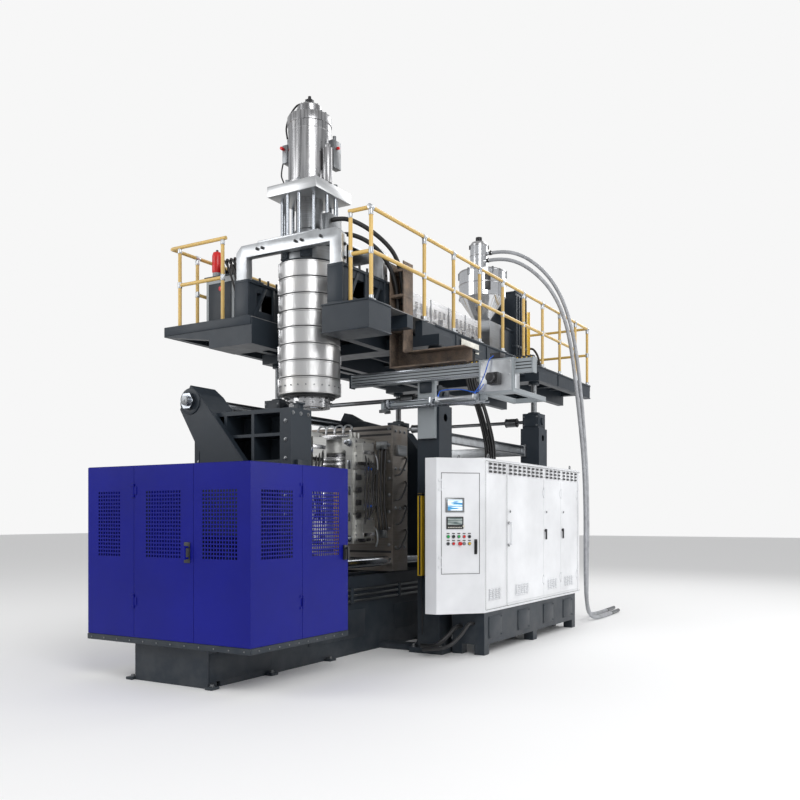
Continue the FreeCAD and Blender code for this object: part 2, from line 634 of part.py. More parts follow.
def hinge(low, side, fixed_wide):
    """Both halves of a butt hinge in its own frame: X along the sheet, -Y outwards.

    low is the moving knuckle's foot, side is +1 or -1 towards the moving leaf, and
    fixed_wide is the fixed leaf's width. The fixed half holds the pin.
    """
    high = f"({low}) + hinge_tall"
    out = "-knuckle_rad - knuckle_play"

    def leaf(towards, near, far, z0, z1):
        """A flat leaf on the sheet, between two distances from the pin's line."""
        ends = (near, far) if towards > 0 else (f"-({far})", f"-({near})")
        return box(*ends, "-hinge_leaf", "0", z0, z1)

    moving = cut(
        fuse(rod("Z", "0", out, low, "knuckle_rad", "hinge_tall"),
             leaf(side, "door_gap / 2", "hinge_wide", low, high)),
        rod("Z", "0", out, f"({low}) - 1", "hinge_pin + fit_gap", "hinge_tall + 2"))
    fixed = [rod("Z", "0", out, f"({low}) - knuckle_tall", "hinge_pin",
                 "hinge_tall + 2 * knuckle_tall")]
    for z in (f"({low}) - knuckle_tall - seat_gap", f"({high}) + seat_gap"):
        fixed.append(rod("Z", "0", out, z, "knuckle_rad", "knuckle_tall"))
        fixed.append(leaf(-side, "0", fixed_wide, z, f"{z} + knuckle_tall"))
    return moving, fuse(*fixed)


QUARTER = FreeCAD.Rotation(V(0, 0, 1), 90)
GUARD_HINGES = ("hinge_low", "hinge_high")
CABINET_HINGES = ("cab_hinge_low", "cab_hinge_high")
PANEL_HINGES = ("panel_hinge_low", "panel_hinge_high")


def half_hinges(half, lows, side, fixed_wide, spot, turn=None):
    """One half (0 moving, 1 fixed) of each hinge of a door, put on its line."""
    return [place(group(hinge(low, side, fixed_wide)[half]), *spot, "0", turn) for low in lows]


def panel_hinges(half):
    """One half of each of the control panel's hinges."""
    leaves = []
    for low in PANEL_HINGES:
        leaf = place(group(hinge(low, 1, "hinge_wide")[half]), "panel_from - panel_edge", "0", "0")
        leaves.append(on_chamfer(group(leaf)))
    return leaves


def guard_panels():
    """Fixed panels: two on the front, one on the operator's side, two plain on the far side."""
    right_face = "guard_right - sheet_wall"
    panels = [
        feature(perforated("Y", "guard_left", "seam_left - door_gap / 2",
                           "guard_front", "guard_left / 2 + seam_left / 2 - guard_post / 2", 9)),
        feature(perforated("Y", "seam_right + door_gap / 2", "guard_right",
                           "guard_front", "guard_right / 2 + seam_right / 2 - guard_post / 2", 12)),
        feature(perforated("X", "guard_front + sheet_wall",
                           "seam_side - door_gap / 2", right_face,
                           "guard_front / 2 + seam_side / 2", 13)),
        box("guard_left", "guard_left + sheet_wall", "guard_front + sheet_wall", "guard_back",
            "guard_skirt", "guard_top"),
    ]
    panels += half_hinges(1, GUARD_HINGES, 1, "hinge_wide", ("seam_left", "guard_front"))
    panels += half_hinges(1, GUARD_HINGES, 1, "hinge_wide", ("guard_right", "seam_side"), QUARTER)
    return node("guard_panels", group(*panels))


def guard_front_door():
    """Hinged middle panel of the front, with its pull handle."""
    panel = perforated("Y", "seam_left + door_gap / 2", "seam_right - door_gap / 2",
                       "guard_front", "seam_left / 2 + seam_right / 2", 13)
    handle = pull_handle("seam_right - 60", "guard_front", "-Y", "handle_low", "handle_high")
    leaves = half_hinges(0, GUARD_HINGES, 1, "hinge_wide", ("seam_left", "guard_front"))
    return node("guard_front_door", group(feature(panel), handle, *leaves))


def guard_side_door():
    """Hinged rear panel of the operator's side."""
    panel = perforated("X", "seam_side + door_gap / 2", "guard_back",
                       "guard_right - sheet_wall", "guard_back / 2 + seam_side / 2", 13)
    leaves = half_hinges(0, GUARD_HINGES, 1, "hinge_wide", ("guard_right", "seam_side"), QUARTER)
    return node("guard_side_door", group(feature(panel), *leaves))


def pull_handle(x, y, axis_out, low, high):
    """A round pull handle: an upright grip on two pegs that stand off a panel."""
    sign = 1 if axis_out[0] == "+" else -1
    along = axis_out[1]
    out = "handle_out"
    pegs = []
    for z in (f"{low} + 12", f"{high} - 12"):
        if along == "Y":
            start = (x, f"({y}) - {out}" if sign < 0 else y)
        else:
            start = (x if sign > 0 else f"({x}) - {out}", y)
        pegs.append(rod(along, start[0], start[1], z, "handle_rad * 0.8", out))
    grip_x = x if along == "Y" else f"({x}) + {sign} * {out}"
    grip_y = f"({y}) + {sign} * {out}" if along == "Y" else y
    grip = rod("Z", grip_x, grip_y, low, "handle_rad", f"({high}) - ({low})")
    return fuse(grip, *pegs)


# ---------------------------------------------------------------- cabinet and control panel
def cabinet_outline(inset, z0, z1):
    """The cabinet's plan with its chamfered corner, inset by a wall."""
    return outline("XY", [
        (f"cab_back + {inset}", f"cab_front + {inset}"),
        (f"cab_turn - {inset} * 0.43", f"cab_front + {inset}"),
        (f"cab_side - {inset}", f"cab_bend + {inset} * 0.41"),
        (f"cab_side - {inset}", f"cab_end - {inset}"),
        (f"cab_back + {inset}", f"cab_end - {inset}"),
    ], z0, f"({z1}) - ({z0})")


DOOR_EDGES = [("door_a", "door_b"), ("door_b", "door_c"), ("door_c", "door_d")]


def on_chamfer(thing):
    """Carry a piece from the panel's own frame (X along, Y inwards) to the chamfered corner."""
    thing.Placement = FreeCAD.Placement(V(), FreeCAD.Rotation(V(0, 0, 1), 0))
    bind(thing, **{"Placement.Rotation.Angle":
                   "atan((cab_bend - cab_front) / (cab_side - cab_turn))"})
    return place(thing, "cab_turn", "cab_front", "0")


def cabinet_shell():
    """Sheet cabinet with door openings in its long face and its chamfered corner."""
    hollow = cabinet_outline("cab_wall", "cab_low + cab_wall", "cab_top - cab_wall")
    recesses, windows = [], []
    for low, high in DOOR_EDGES:
        recesses.append(box("cab_side - door_thick - seat_gap", "cab_side + 1",
                            f"{low} + 1", f"{high} - 1", "door_low", "door_high"))
        windows.append(box("cab_side - 60", "cab_side + 1", f"{low} + door_lap",
                           f"{high} - door_lap", "door_low + door_lap", "door_high - door_lap"))
    panel_seat = on_chamfer(group(
        box("panel_from - 1", "panel_to + 1", "-1", "door_thick + seat_gap", "panel_low - 1",
            "panel_high + 1"),
    ))
    panel_window = on_chamfer(group(
        box("panel_from + door_lap", "panel_to - door_lap", "-1", "40",
            "panel_low + door_lap", "panel_high - door_lap"),
    ))
    shell = cut(cabinet_outline("0", "cab_low", "cab_top"), hollow, *recesses, *windows,
                panel_seat, panel_window)
    hinges = panel_hinges(1)
    for _, high in DOOR_EDGES:
        hinges += half_hinges(1, CABINET_HINGES, -1, "lug_wide",
                              ("cab_side", f"{high} - hinge_inset"), QUARTER)
    return node("cabinet_shell", group(shell, *hinges))


def cabinet_door(number):
    """A flat door in its recess; the widest one has a pull handle."""
    low, high = DOOR_EDGES[number - 1]
    leaf = box("cab_side - door_thick", "cab_side", f"{low} + 3", f"{high} - 3", "door_low + 2",
               "door_high - 2")
    parts = [leaf, *half_hinges(0, CABINET_HINGES, -1, "lug_wide",
                                ("cab_side", f"{high} - hinge_inset"), QUARTER)]
    if number == 1:
        parts.append(pull_handle("cab_side", f"{low} + 45", "+X", "1180", "1440"))
    return node(f"cabinet_door_{number}", group(*parts))


def cabinet_latch(number):
    """Swing handle on a door's free edge."""
    low = DOOR_EDGES[number - 1][0]
    plate = rod("X", "cab_side + seat_gap", f"{low} + 45", "1330", "16", "12")
    lever = box("cab_side + seat_gap + 12", "cab_side + seat_gap + 26", f"{low} + 33",
                f"{low} + 57", "1220", "1348")
    return node(f"cabinet_latch_{number}", fuse(plate, lever))


def hydraulic_tank():
    """Oil tank under the cabinet, on feet, with two bearers that carry the cabinet."""
    body = cut(
        box("tank_back", "tank_side", "tank_front", "tank_end", "tank_low", "cab_low"),
        box("tank_back + 6", "tank_side - 6", "tank_front + 6", "tank_end - 6", "tank_low + 6",
            "cab_low - 6"),
    )
    feet = [
        box(f"{x} - tank_foot", f"{x} + tank_foot", f"{y} - tank_foot", f"{y} + tank_foot", "0",
            "tank_low")
        for x in ("tank_back + tank_foot", "tank_side - tank_foot")
        for y in ("tank_front + tank_foot", "(tank_front + tank_end) / 2", "tank_end - tank_foot")
    ]
    return node("hydraulic_tank", fuse(body, *feet))


def control_door():
    """Hinged control panel, cut out for its screen, controller and buttons."""
    leaf = box("panel_from", "panel_to", "0", "door_thick", "panel_low", "panel_high")
    holes = [
        box("screen_from", "screen_to", "-1", "door_thick + 1", "screen_low", "screen_high"),
        box("screen_from", "screen_to", "-1", "door_thick + 1", "meter_low", "meter_high"),
    ]
    holes += [rod("Y", x, "-1", z, f"({radius}) * 0.7 + seat_gap", "door_thick + 2")
              for x, z, radius in BUTTONS.values()]
    return node("control_door", group(on_chamfer(cut(leaf, *holes)), *panel_hinges(0)))


BUTTONS = {
    "start_button": ("screen_from + 20", "button_up", "button_rad"),
    "stop_button": ("screen_from + 80", "button_up", "button_rad"),
    "emergency_stop": ("screen_from + 150", "button_up - 75", "stop_rad"),
}


def push_button(name):
    """A button head in front of the panel and its stem through it."""
    x, z, radius = BUTTONS[name]
    out = "stop_out" if name == "emergency_stop" else "button_out"
    head = rod("Y", x, f"-({out}) - button_travel - 1", z, radius, out)
    stem = rod("Y", x, "-button_travel - 1", z, f"({radius}) * 0.7", "door_thick + 22")
    return node(name, on_chamfer(group(fuse(head, stem))))


def panel_instruments():
    """Touch screen and parison controller in the panel's cut-outs."""
    units = [box("screen_from", "screen_to", "-8", "door_thick + 30", low, high)
             for low, high in (("screen_low", "screen_high"), ("meter_low", "meter_high"))]
    return node("panel_instruments", on_chamfer(group(*units)))


# ---------------------------------------------------------------- platform
def platform_frame():
    """Welded beams, front shoes and walkway brackets."""
    beams = []
    for side in (1, -1):
        inner, outer = "beam_in", "beam_in + beam_wide"
        ends = (inner, outer) if side > 0 else (f"-({outer})", f"-({inner})")
        beams.append(box(*ends, "plat_front", "plat_back", "plat_low", "plat_top"))
    beams.append(box("plat_edge - edge_wide", "plat_edge", "col_front", "plat_back", "edge_low",
                     "plat_top"))
    beams.append(box("-plat_edge", "edge_wide - plat_edge", "plat_front", "plat_back",
                     "edge_low", "plat_top"))
    beams.append(box("beam_in", "plat_edge + shoe_extra", "plat_front", "shoe_back", "plat_low",
                     "plat_top"))
    beams.append(box("plat_left", "-beam_in", "plat_front", "shoe_back", "plat_low", "plat_top"))
    for row in ("col_front", "col_rear"):
        beams.append(box("-col_in - col_wide", "col_in + col_wide", row, f"{row} + col_deep",
                         "plat_low", "edge_low + 40"))
    for y in ("recess_back", "2300", "5200", "plat_back - cross_beam"):
        beams.append(box("-plat_edge", "plat_edge", y, f"{y} + cross_beam",
                         "plat_top - cross_tall", "plat_top"))
    for y in ("plat_front", "1400", "3000", "4700", "plat_back - 100"):
        beams.append(outline("XZ", [
            ("walk_edge", "plat_top - walk_tall"), ("-plat_edge", "plat_top - walk_root"),
            ("-plat_edge", "plat_top"), ("walk_edge", "plat_top"),
        ], y, "100"))
    beams.append(box("walk_edge", "walk_edge + 60", "plat_front", "plat_back",
                     "plat_top - walk_tall", "plat_top"))
    # bracket that the cables hang from
    beams.append(box("plat_edge - edge_wide", "bracket_end", "bracket_front", "bracket_back",
                     "edge_low", "edge_low + bracket_thick"))
    return node("platform_frame", fuse(*beams))


def platform_deck():
    """Deck plate with a recess for the head and a slot for the tray."""
    plate = outline("XY", [
        ("walk_edge", "plat_front"), ("-beam_in", "plat_front"), ("-beam_in", "recess_back"),
        ("beam_in", "recess_back"), ("beam_in", "plat_front"),
        ("plat_edge + shoe_extra", "plat_front"), ("plat_edge + shoe_extra", "shoe_back"),
        ("plat_edge", "shoe_back"), ("plat_edge", "plat_back"),
        ("walk_edge", "plat_back"),
    ], "plat_top", "deck_thick")
    slot = box("tray_in - 12", "tray_mid + 12", "tray_front - 12", "tray_back + 12",
               "plat_top - 1", "plat_top + deck_thick + 1")
    return node("platform_deck", cut(plate, slot))


DECK = "plat_top + deck_thick"


def head_supports():
    """Two windowed beams with a portal at each end and the head's flange plate."""
    parts = []
    for side in (1, -1):
        ends = ("sup_in", "sup_out") if side > 0 else ("-sup_out", "-sup_in")
        beam = box(*ends, "sup_front", "sup_back", DECK, "sup_high")
        windows = [box(f"{ends[0]} - 1", f"{ends[1]} + 1", y, f"{y} + sup_window",
                       "plat_top + sup_margin", "sup_high - sup_margin")
                   for y in ("sup_front + window_first", "sup_front + window_next")]
        parts.append(cut(beam, *windows))
    for y in ("sup_front", "portal_rear"):
        ring = outline("XZ", [
            ("-sup_out", "sup_high"), ("sup_portal - sup_out", "sup_high"),
            ("sup_portal - sup_out", "portal_top - portal_bar"),
            ("sup_out - sup_portal", "portal_top - portal_bar"),
            ("sup_out - sup_portal", "sup_high"), ("sup_out", "sup_high"),
            ("sup_out", "portal_top - portal_chamfer"), ("sup_out - portal_chamfer", "portal_top"),
            ("portal_chamfer - sup_out", "portal_top"), ("-sup_out", "portal_top - portal_chamfer"),
        ], y, "portal_deep")
        parts.append(ring)
    plate = box("-top_plate_half", "top_plate_half", "sup_front", "portal_rear + portal_deep",
                "portal_top", "portal_top + top_plate")
    hole = rod("Z", "0", "0", "portal_top - 1", "ram_rad + 10", "top_plate + 2")
    return node("head_supports", cut(fuse(*parts, plate), hole))


def head_body():
    """Accumulator body, bored for the mandrel stem from below and the ram from above."""
    body = rod("Z", "0", "0", "head_low", "head_rad", "portal_top - head_low")
    stem = rod("Z", "0", "0", "head_low - 1", "stem_rad + fit_gap", "stem_high - head_low + 31")
    ram = rod("Z", "0", "0", "ram_bore_low", "ram_rad + fit_gap", "portal_top - ram_bore_low + 1")
    return node("head_body", cut(body, stem, ram))


def heater_bands():
    """Ceramic heater bands stacked up the body."""
    pitch = "(band_top - head_low) / band_count"
    bands = []
    for i in range(int(value_of("band_count"))):
        band = tube("Z", "0", "0", f"head_low + {i} * {pitch}", "band_out", "head_rad",
                    f"{pitch} - band_gap")
        if i == SIZES["band_count"] - 1:
            band = cut(band, rod("Y", "0", "0", "screw_up", "neck_rad + 4", "band_out + 10"))
        bands.append(band)
    return node("heater_bands", group(*bands))


def die_ring():
    """Die ring under a wider clamping ring."""
    clamp = tube("Z", "0", "0", "die_high", "ring_rad", "stem_rad + 60", "head_low - die_high")
    die = tube("Z", "0", "0", "die_low", "die_rad", "die_bore", "die_high - die_low")
    return node("die_ring", fuse(clamp, die))


def die_mandrel():
    """Core of the die on its long stem."""
    core = turned([
        ("0", "die_low - 6"), ("die_bore - 22", "die_low - 6"), ("die_bore - 6", "die_low + 40"),
        ("stem_rad", "die_high - 20"), ("stem_rad", "stem_high"), ("0", "stem_high"),
    ])
    return node("die_mandrel", core)


def guide_rods():
    """Tie rods between the flange plate and the crosshead plate."""
    rods = []
    for i in range(int(value_of("guide_count"))):
        angle = f"{i} * 360 / guide_count + 15"
        rods.append(rod("Z", f"guide_circle * cos({angle})", f"guide_circle * sin({angle})",
                        "portal_top + top_plate", "guide_rad",
                        "cross_low - portal_top - top_plate"))
    return rods


def ram_cylinder():
    """Crosshead plate on its rods, with the ram's cylinder, cap, fitting and valve block."""
    plate = box("-cross_half", "cross_half", "-cross_half", "cross_half", "cross_low",
                "cross_high")
    barrel = rod("Z", "0", "0", "cross_high", "ram_outer", "ram_high - cross_high")
    cap = rod("Z", "0", "0", "ram_high", "ram_cap_rad", "ram_cap_high - ram_high")
    tip = rod("Z", "0", "0", "ram_cap_high", "ram_tip_rad", "ram_tip_high - ram_cap_high")
    rod_way = rod("Z", "0", "0", "cross_low - 1", "ram_rad + fit_gap", "cross_high - cross_low + 2")
    chamber = rod("Z", "0", "0", "cross_high", "ram_inner", "ram_high - cross_high - 60")
    side_unit = rod("Z", "ram_outer + 60", "-70", "cross_high", "50", "420")
    return node("ram_cylinder", group(cut(fuse(plate, barrel, cap, tip), rod_way, chamber),
                                      side_unit, valve_block(), *guide_rods()))


def ram_rod():
    """Ram rod with its piston inside the cylinder."""
    shaft = rod("Z", "0", "0", "ram_rod_low", "ram_rad", "ram_rod_high - ram_rod_low")
    piston = rod("Z", "0", "0", "ram_rod_high - 70", "ram_inner - fit_gap", "70")
    return node("ram_rod", fuse(shaft, piston))


# ---------------------------------------------------------------- extruder line
def extruder_barrel():
    """Bored barrel from the head to the feed section, with its end flanges and legs."""
    start = "head_rad + 41"
    neck = cut(rod("Y", "0", "head_rad - 20", "screw_up", "neck_rad", "61"),
               rod("Z", "0", "0", "screw_up - 200", "head_rad", "400"))
    barrel = rod("Y", "0", start, "screw_up", "barrel_out", f"barrel_end - ({start})")
    flange = rod("Y", "0", start, "screw_up", "barrel_out + 35", "55")
    feed = box("-feed_half", "feed_half", "barrel_end", "gear_from", "screw_up - 190",
               "feed_high")
    bore = rod("Y", "0", f"{start} + 40", "screw_up", "barrel_bore", f"gear_from - ({start})")
    port = rod("Z", "0", "feed_mid", "screw_up", "feed_port - 10", "400")
    legs = [box("-130", "130", y, f"{y} + 80", DECK, "screw_up - 60") for y in ("700", "2450")]
    feed_leg = box("-160", "160", "barrel_end + 40", "gear_from - 40", DECK, "screw_up - 180")
    return node("extruder_barrel", group(cut(fuse(neck, barrel, flange, *legs), bore),
                                         cut(fuse(feed, feed_leg), bore, port)))


def extruder_screw():
    """Plasticising screw in the barrel, driven from the gearbox end."""
    shank = rod("Y", "0", "head_rad + 90", "screw_up", "screw_rad * 0.72",
                "gear_from - head_rad - 100")
    flights = [rod("Y", "0", f"head_rad + 140 + {i} * flight_pitch", "screw_up", "screw_rad",
                   "flight_long") for i in range(int(value_of("flight_count")))]
    return node("extruder_screw", fuse(shank, *flights))


def barrel_cover():
    """Sheet cover over the heated barrel, open at the bottom."""
    outer = box("-cover_half", "cover_half", "cover_from", "cover_to",
                "screw_up - cover_half", "screw_up + cover_half")
    inner = box("cover_wall - cover_half", "cover_half - cover_wall", "cover_from + cover_wall",
                "cover_to - cover_wall", "screw_up - cover_half - 1",
                "screw_up + cover_half - cover_wall")
    ways = [rod("Y", "0", y, "screw_up", "barrel_out + seat_gap", "10")
            for y in ("cover_from - 3", "cover_to - 7")]
    return node("barrel_cover", group(cut(outer, inner, *ways), *barrel_blowers()))


def barrel_blowers():
    """Cooling blowers on the deck beside the barrel."""
    parts = []
    for i in range(4):
        y = f"cover_from + 300 + {i} * 700"
        drum = rod("X", "cover_half + 20", y, f"{DECK} + blower_rad", "blower_rad", "blower_wide")
        throat = box("cover_half + 40", "cover_half + 110", f"{y} - 50", f"{y} + 50",
                     f"{DECK} + blower_rad", "screw_up - 60")
        parts.append(fuse(drum, throat))
    return parts


def drive_gearbox():
    """Stepped reduction gearbox."""
    low = box("-gear_half + 60", "gear_half - 60", "gear_from", "gear_mid", DECK,
              "screw_up + 230")
    high = box("-gear_half", "gear_half", "gear_mid", "gear_to", DECK, "gear_high")
    return node("drive_gearbox", fuse(low, high))


def belt_guard():
    """Closed sheet guard over the belt drive."""
    outer = box("-belt_half", "belt_half", "belt_from", "belt_to", DECK, "belt_high")
    inner = box("belt_wall - belt_half", "belt_half - belt_wall", "belt_from + belt_wall",
                "belt_to - belt_wall", f"{DECK} - 1", "belt_high - belt_wall")
    return node("belt_guard", cut(outer, inner))


def drive_motor():
    """Motor on its foot."""
    body = rod("Y", "0", "motor_from", "motor_up", "motor_rad", "motor_to - motor_from")
    foot = box("-220", "220", "motor_from + 60", "motor_to - 100", DECK, "motor_up - 150")
    terminal = box("-110", "110", "motor_from + 160", "motor_from + 380", "motor_up + 200",
                   "motor_up + motor_rad + 110")
    return node("drive_motor", fuse(body, foot, terminal))


def feed_hopper():
    """Sheet hopper: a rolled shell on a cone, under a flat lid."""
    cone_wall = turned([
        ("feed_port - hop_wall", "feed_high"), ("feed_port", "feed_high"), ("hop_rad", "hop_low"),
        ("hop_rad - hop_wall", "hop_low"),
    ], "0", "feed_mid")
    shell = tube("Z", "0", "feed_mid", "hop_low", "hop_rad", "hop_rad - hop_wall",
                 "hop_high - hop_wall - hop_low")
    lid = rod("Z", "0", "feed_mid", "hop_high - hop_wall", "hop_rad", "hop_wall")
    return node("feed_hopper", group(cone_wall, shell, lid))


def vacuum_loader():
    """Vacuum loader on a stub over the hopper's lid, with two hose spigots."""
    stub = rod("Z", "load_out", "feed_mid", "hop_high", "load_rad * 0.6", "load_low - hop_high")
    pot = rod("Z", "load_out", "feed_mid", "load_low", "load_rad", "load_high - load_low")
    spigots = [rod("X", "load_out", f"feed_mid + {y}", z, "hose_rad", "load_rad + 70")
               for y, z in ((-50, "load_low + 110"), (50, "load_low + 250"))]
    return node("vacuum_loader", fuse(stub, pot, *spigots))


# ---------------------------------------------------------------- railings and walkway units
def rail_post(x, y):
    """Post with a foot collar; the top rail lies on it."""
    pipe = rod("Z", x, y, DECK, "pipe_rad", f"rail_up - pipe_rad - ({DECK})")
    collar = rod("Z", x, y, DECK, "collar_rad", "collar_tall")
    return fuse(pipe, collar)


def railings():
    """Handrails of the platform: continuous top rails, mid rails between posts."""
    posts, rails = [], []
    right = [f"post_first + {i} * post_pitch" for i in range(8)]
    left = [f"rail_front_left + 420 + {i} * post_pitch * 1.2" for i in range(7)]
    runs = [("rail_right", right), ("rail_left", left)]
    for x, spots in runs:
        for y in spots:
            posts.append(rail_post(x, y))
        for here, there in zip(spots, spots[1:]):
            rails.append(rod("Y", x, f"{here} + pipe_rad", "mid_up", "pipe_rad",
                             f"({there}) - ({here}) - 2 * pipe_rad"))
    rails.append(rod("Y", "rail_right", "rail_front + pipe_rad", "rail_up", "pipe_rad",
                     "rail_end - rail_front"))
    rails.append(rod("Y", "rail_left", "rail_front_left", "rail_up", "pipe_rad",
                     "rail_end - rail_front_left + pipe_rad"))
    # rear end
    rails.append(rod("X", "rail_left + pipe_rad", "rail_end", "rail_up", "pipe_rad",
                     "rail_right - rail_left - 2 * pipe_rad"))
    rails.append(rod("X", "rail_left + pipe_rad", "rail_end", "mid_up", "pipe_rad",
                     "rail_right - rail_left - 2 * pipe_rad"))
    posts += [rail_post("rail_right", "rail_end"), rail_post("rail_left", "rail_end")]
    # short returns at the front
    gate = "sup_out + gate_post"
    posts += [rail_post("rail_right", "rail_front"), rail_post(gate, "rail_front")]
    rails.append(rod("X", f"{gate} - pipe_rad", "rail_front", "rail_up", "pipe_rad",
                     f"rail_right - ({gate})"))
    rails.append(rod("X", f"{gate} + pipe_rad", "rail_front", "mid_up", "pipe_rad",
                     f"rail_right - ({gate}) - 2 * pipe_rad"))
    rails.append(rod("Y", "rail_right", "rail_front + pipe_rad", "mid_up", "pipe_rad",
                     "post_first - rail_front - 2 * pipe_rad"))
    left_post, left_gate = "rail_left + left_inset", "-sup_out - left_gate"
    posts += [rail_post(x, "rail_front_left") for x in (left_post, left_gate)]
    rails.append(rod("X", "rail_left + pipe_rad", "rail_front_left", "rail_up", "pipe_rad",
                     f"{left_gate} + 30 - rail_left"))
    rails.append(rod("X", f"{left_post} + pipe_rad", "rail_front_left", "mid_up", "pipe_rad",
                     f"{left_gate} - ({left_post}) - 2 * pipe_rad"))
    return node("railings", group(*posts, *rails))


def walkway_units():
    """Hydraulic equipment on the far walkway: tank box, pressure flask, pump, motor."""
    tank = box("box_left", "box_right", "box_from", "box_to", DECK, "box_high")
    flask = rod("Z", "box_left + 90", "box_from + 90", "box_high", "flask_rad", "flask_tall")
    pump = rod("Z", "box_right + 130 - 20", "box_from + 60", DECK, "pump_rad", "pump_tall")
    motor = rod("Y", "box_left + 220", "box_to + 60", f"{DECK} + 150", "150", "420")
    return node("walkway_units", group(tank, flask, pump, motor))


# ---------------------------------------------------------------- tray, take-out, hoses
def cable_tray():
    """Bent channel tray that drops beside the platform and turns outwards."""
    def run(grow, wall_back):
        """The tray's outline shrunk by a wall, as a padded elbow."""
        return outline("XZ", [
            (f"tray_in + {grow}", f"tray_low + {grow}"), ("tray_out", f"tray_low + {grow}"),
            ("tray_out", f"tray_flat - {grow}"), (f"tray_mid - {grow}", f"tray_flat - {grow}"),
            (f"tray_mid - {grow}", "tray_high"), (f"tray_in + {grow}", "tray_high"),
        ], f"tray_front - {wall_back}" if wall_back else "tray_front",
            "tray_back - tray_front - tray_wall" if wall_back else "tray_back - tray_front")
    return node("cable_tray", cut(run("0", ""), run("tray_wall", "0.5")))


def takeout_beam():
    """Linear beam for the take-out, on a bracket from the near column."""
    beam = box("take_in", "take_out", "take_front", "take_back", "take_low", "take_high")
    bracket = box("col_in + 30", "col_in + col_wide - 30", "take_back", "col_front",
                  "side_low", "take_high")
    block = box("take_out", "take_out + 12", "take_front - 10", "take_back + 10",
                "take_low - 10", "take_high + 10")
    return node("takeout_beam", fuse(beam, bracket, block))


def takeout_carriage():
    """Carriage that wraps the beam and carries an outrigger frame."""
    gap = "seat_gap"
    outer = box("carriage_in", "carriage_out", "take_front - 44", "take_back + 40",
                "take_low - 200", "take_high + 15")
    way = box("carriage_in - 1", "carriage_out + 1", f"take_front - {gap}", f"take_back + {gap}",
              f"take_low - {gap}", f"take_high + {gap}")
    arms = [box(x, f"{x} + 50", "take_back + 40", "frame_back", "take_low - 200", "take_low - 150")
            for x in ("carriage_in", "carriage_out - 50")]
    tie = box("carriage_in", "carriage_out", "frame_back", "frame_back + 40", "take_low - 200",
              "take_low - 150")
    return node("takeout_carriage", group(fuse(cut(outer, way), *arms, tie),
                                          takeout_gripper()))


def takeout_gripper():
    """Gripper rail and its jaw, carried under the carriage."""
    rail = rod("X", "grip_in", "take_front - 10", "grip_up", "grip_rad", "grip_out - grip_in")
    jaw = box("grip_in - 40", "grip_in", "take_front - 70", "take_front + 50", "grip_up - 60",
              "grip_up + 30")
    holder = box("carriage_in", "grip_out", "take_front - 30", "take_front + 10",
                 "grip_up", "take_low - 200")
    return fuse(rail, jaw, holder)


def hose(points, radius, name):
    """A bent tube of straight runs and tangent arcs along hand-chosen points."""
    knots = [V(*p) for p in points]
    edges, here, radii = [], knots[0], []
    for before, corner, after in zip(knots, knots[1:], knots[2:]):
        to_corner, from_corner = corner - before, after - corner
        half_turn = to_corner.getAngle(from_corner) / 2
        back = 0.45 * min(to_corner.Length, from_corner.Length)
        entry = corner - to_corner.normalize() * back
        leave = corner + from_corner.normalize() * back
        centre_line = (entry + leave) * 0.5 - corner
        bend = back / math.tan(half_turn)
        radii.append(bend)
        reach = (bend ** 2 + back ** 2) ** 0.5 - bend
        middle = corner + centre_line.normalize() * reach
        edges += [Part.LineSegment(here, entry).toShape(), Part.Arc(entry, middle, leave).toShape()]
        here = leave
    edges.append(Part.LineSegment(here, knots[-1]).toShape())
    path = Part.Wire(edges)
    start = knots[1] - knots[0]
    ring = Part.Wire([Part.makeCircle(radius, knots[0], start)])
    solid = path.makePipeShell([ring], True, False, 1)
    print(name, "length", round(path.Length), "least bend", round(min(radii)))
    return solid


LOADER_HOSE_1 = [
    (145, 4360, 5410), (330, 4360, 5410), (600, 4420, 5330), (860, 4500, 5130), (1080, 4580, 4850),
    (1240, 4660, 4450), (1330, 4700, 3950), (1400, 4690, 3400), (1480, 4640, 2850),
    (1560, 4560, 2280), (1610, 4480, 1700), (1640, 4400, 1130), (1660, 4340, 620),
    (1680, 4330, 260), (1700, 4450, 60), (1725, 4720, 29), (1735, 5060, 29), (1715, 5400, 29),
]
LOADER_HOSE_2 = [
    (145, 4460, 5550), (350, 4460, 5550), (640, 4560, 5450), (920, 4680, 5200), (1120, 4790, 4860),
    (1250, 4880, 4420), (1330, 4930, 3900), (1390, 4930, 3350), (1450, 4890, 2780),
    (1510, 4830, 2200), (1550, 4760, 1620), (1570, 4700, 1060), (1570, 4660, 560),
    (1560, 4690, 220), (1545, 4840, 50), (1535, 5120, 29), (1545, 5450, 29), (1530, 5760, 29),
]
HEAD_HOSE_UPPER = [
    (345, -60, 4690), (440, -60, 4690), (550, -30, 4670), (650, 50, 4620), (730, 160, 4555),
    (790, 290, 4480), (832, 410, 4390), (845, 500, 4280), (842, 560, 4150), (846, 588, 4010),
    (842, 596, 3860),
]
HEAD_HOSE_LOWER = [
    (345, 60, 4560), (430, 60, 4560), (525, 95, 4540), (620, 160, 4495), (695, 245, 4430),
    (745, 340, 4345), (768, 435, 4245), (778, 515, 4135), (776, 568, 4005), (779, 590, 3865),
    (776, 594, 3725),
]
LANCE_ENDS = [(LOADER_HOSE_1[-1], LOADER_HOSE_1[-2]), (LOADER_HOSE_2[-1], LOADER_HOSE_2[-2])]


def free_hose(name, points, size):
    """A hose in a node of its own."""
    return node(name, feature(hose(points, value_of(size), name)))


def suction_lances():
    """Straight pick-up tubes on the hoses' far ends."""
    parts = []
    for end, before in LANCE_ENDS:
        along = (V(*end) - V(*before)).normalize()
        along.z = 0
        along.normalize()
        parts.append(Part.makeCylinder(value_of("hose_rad"), value_of("lance_long"), V(*end), along))
    return node("suction_lances", feature(Part.Compound(parts)))


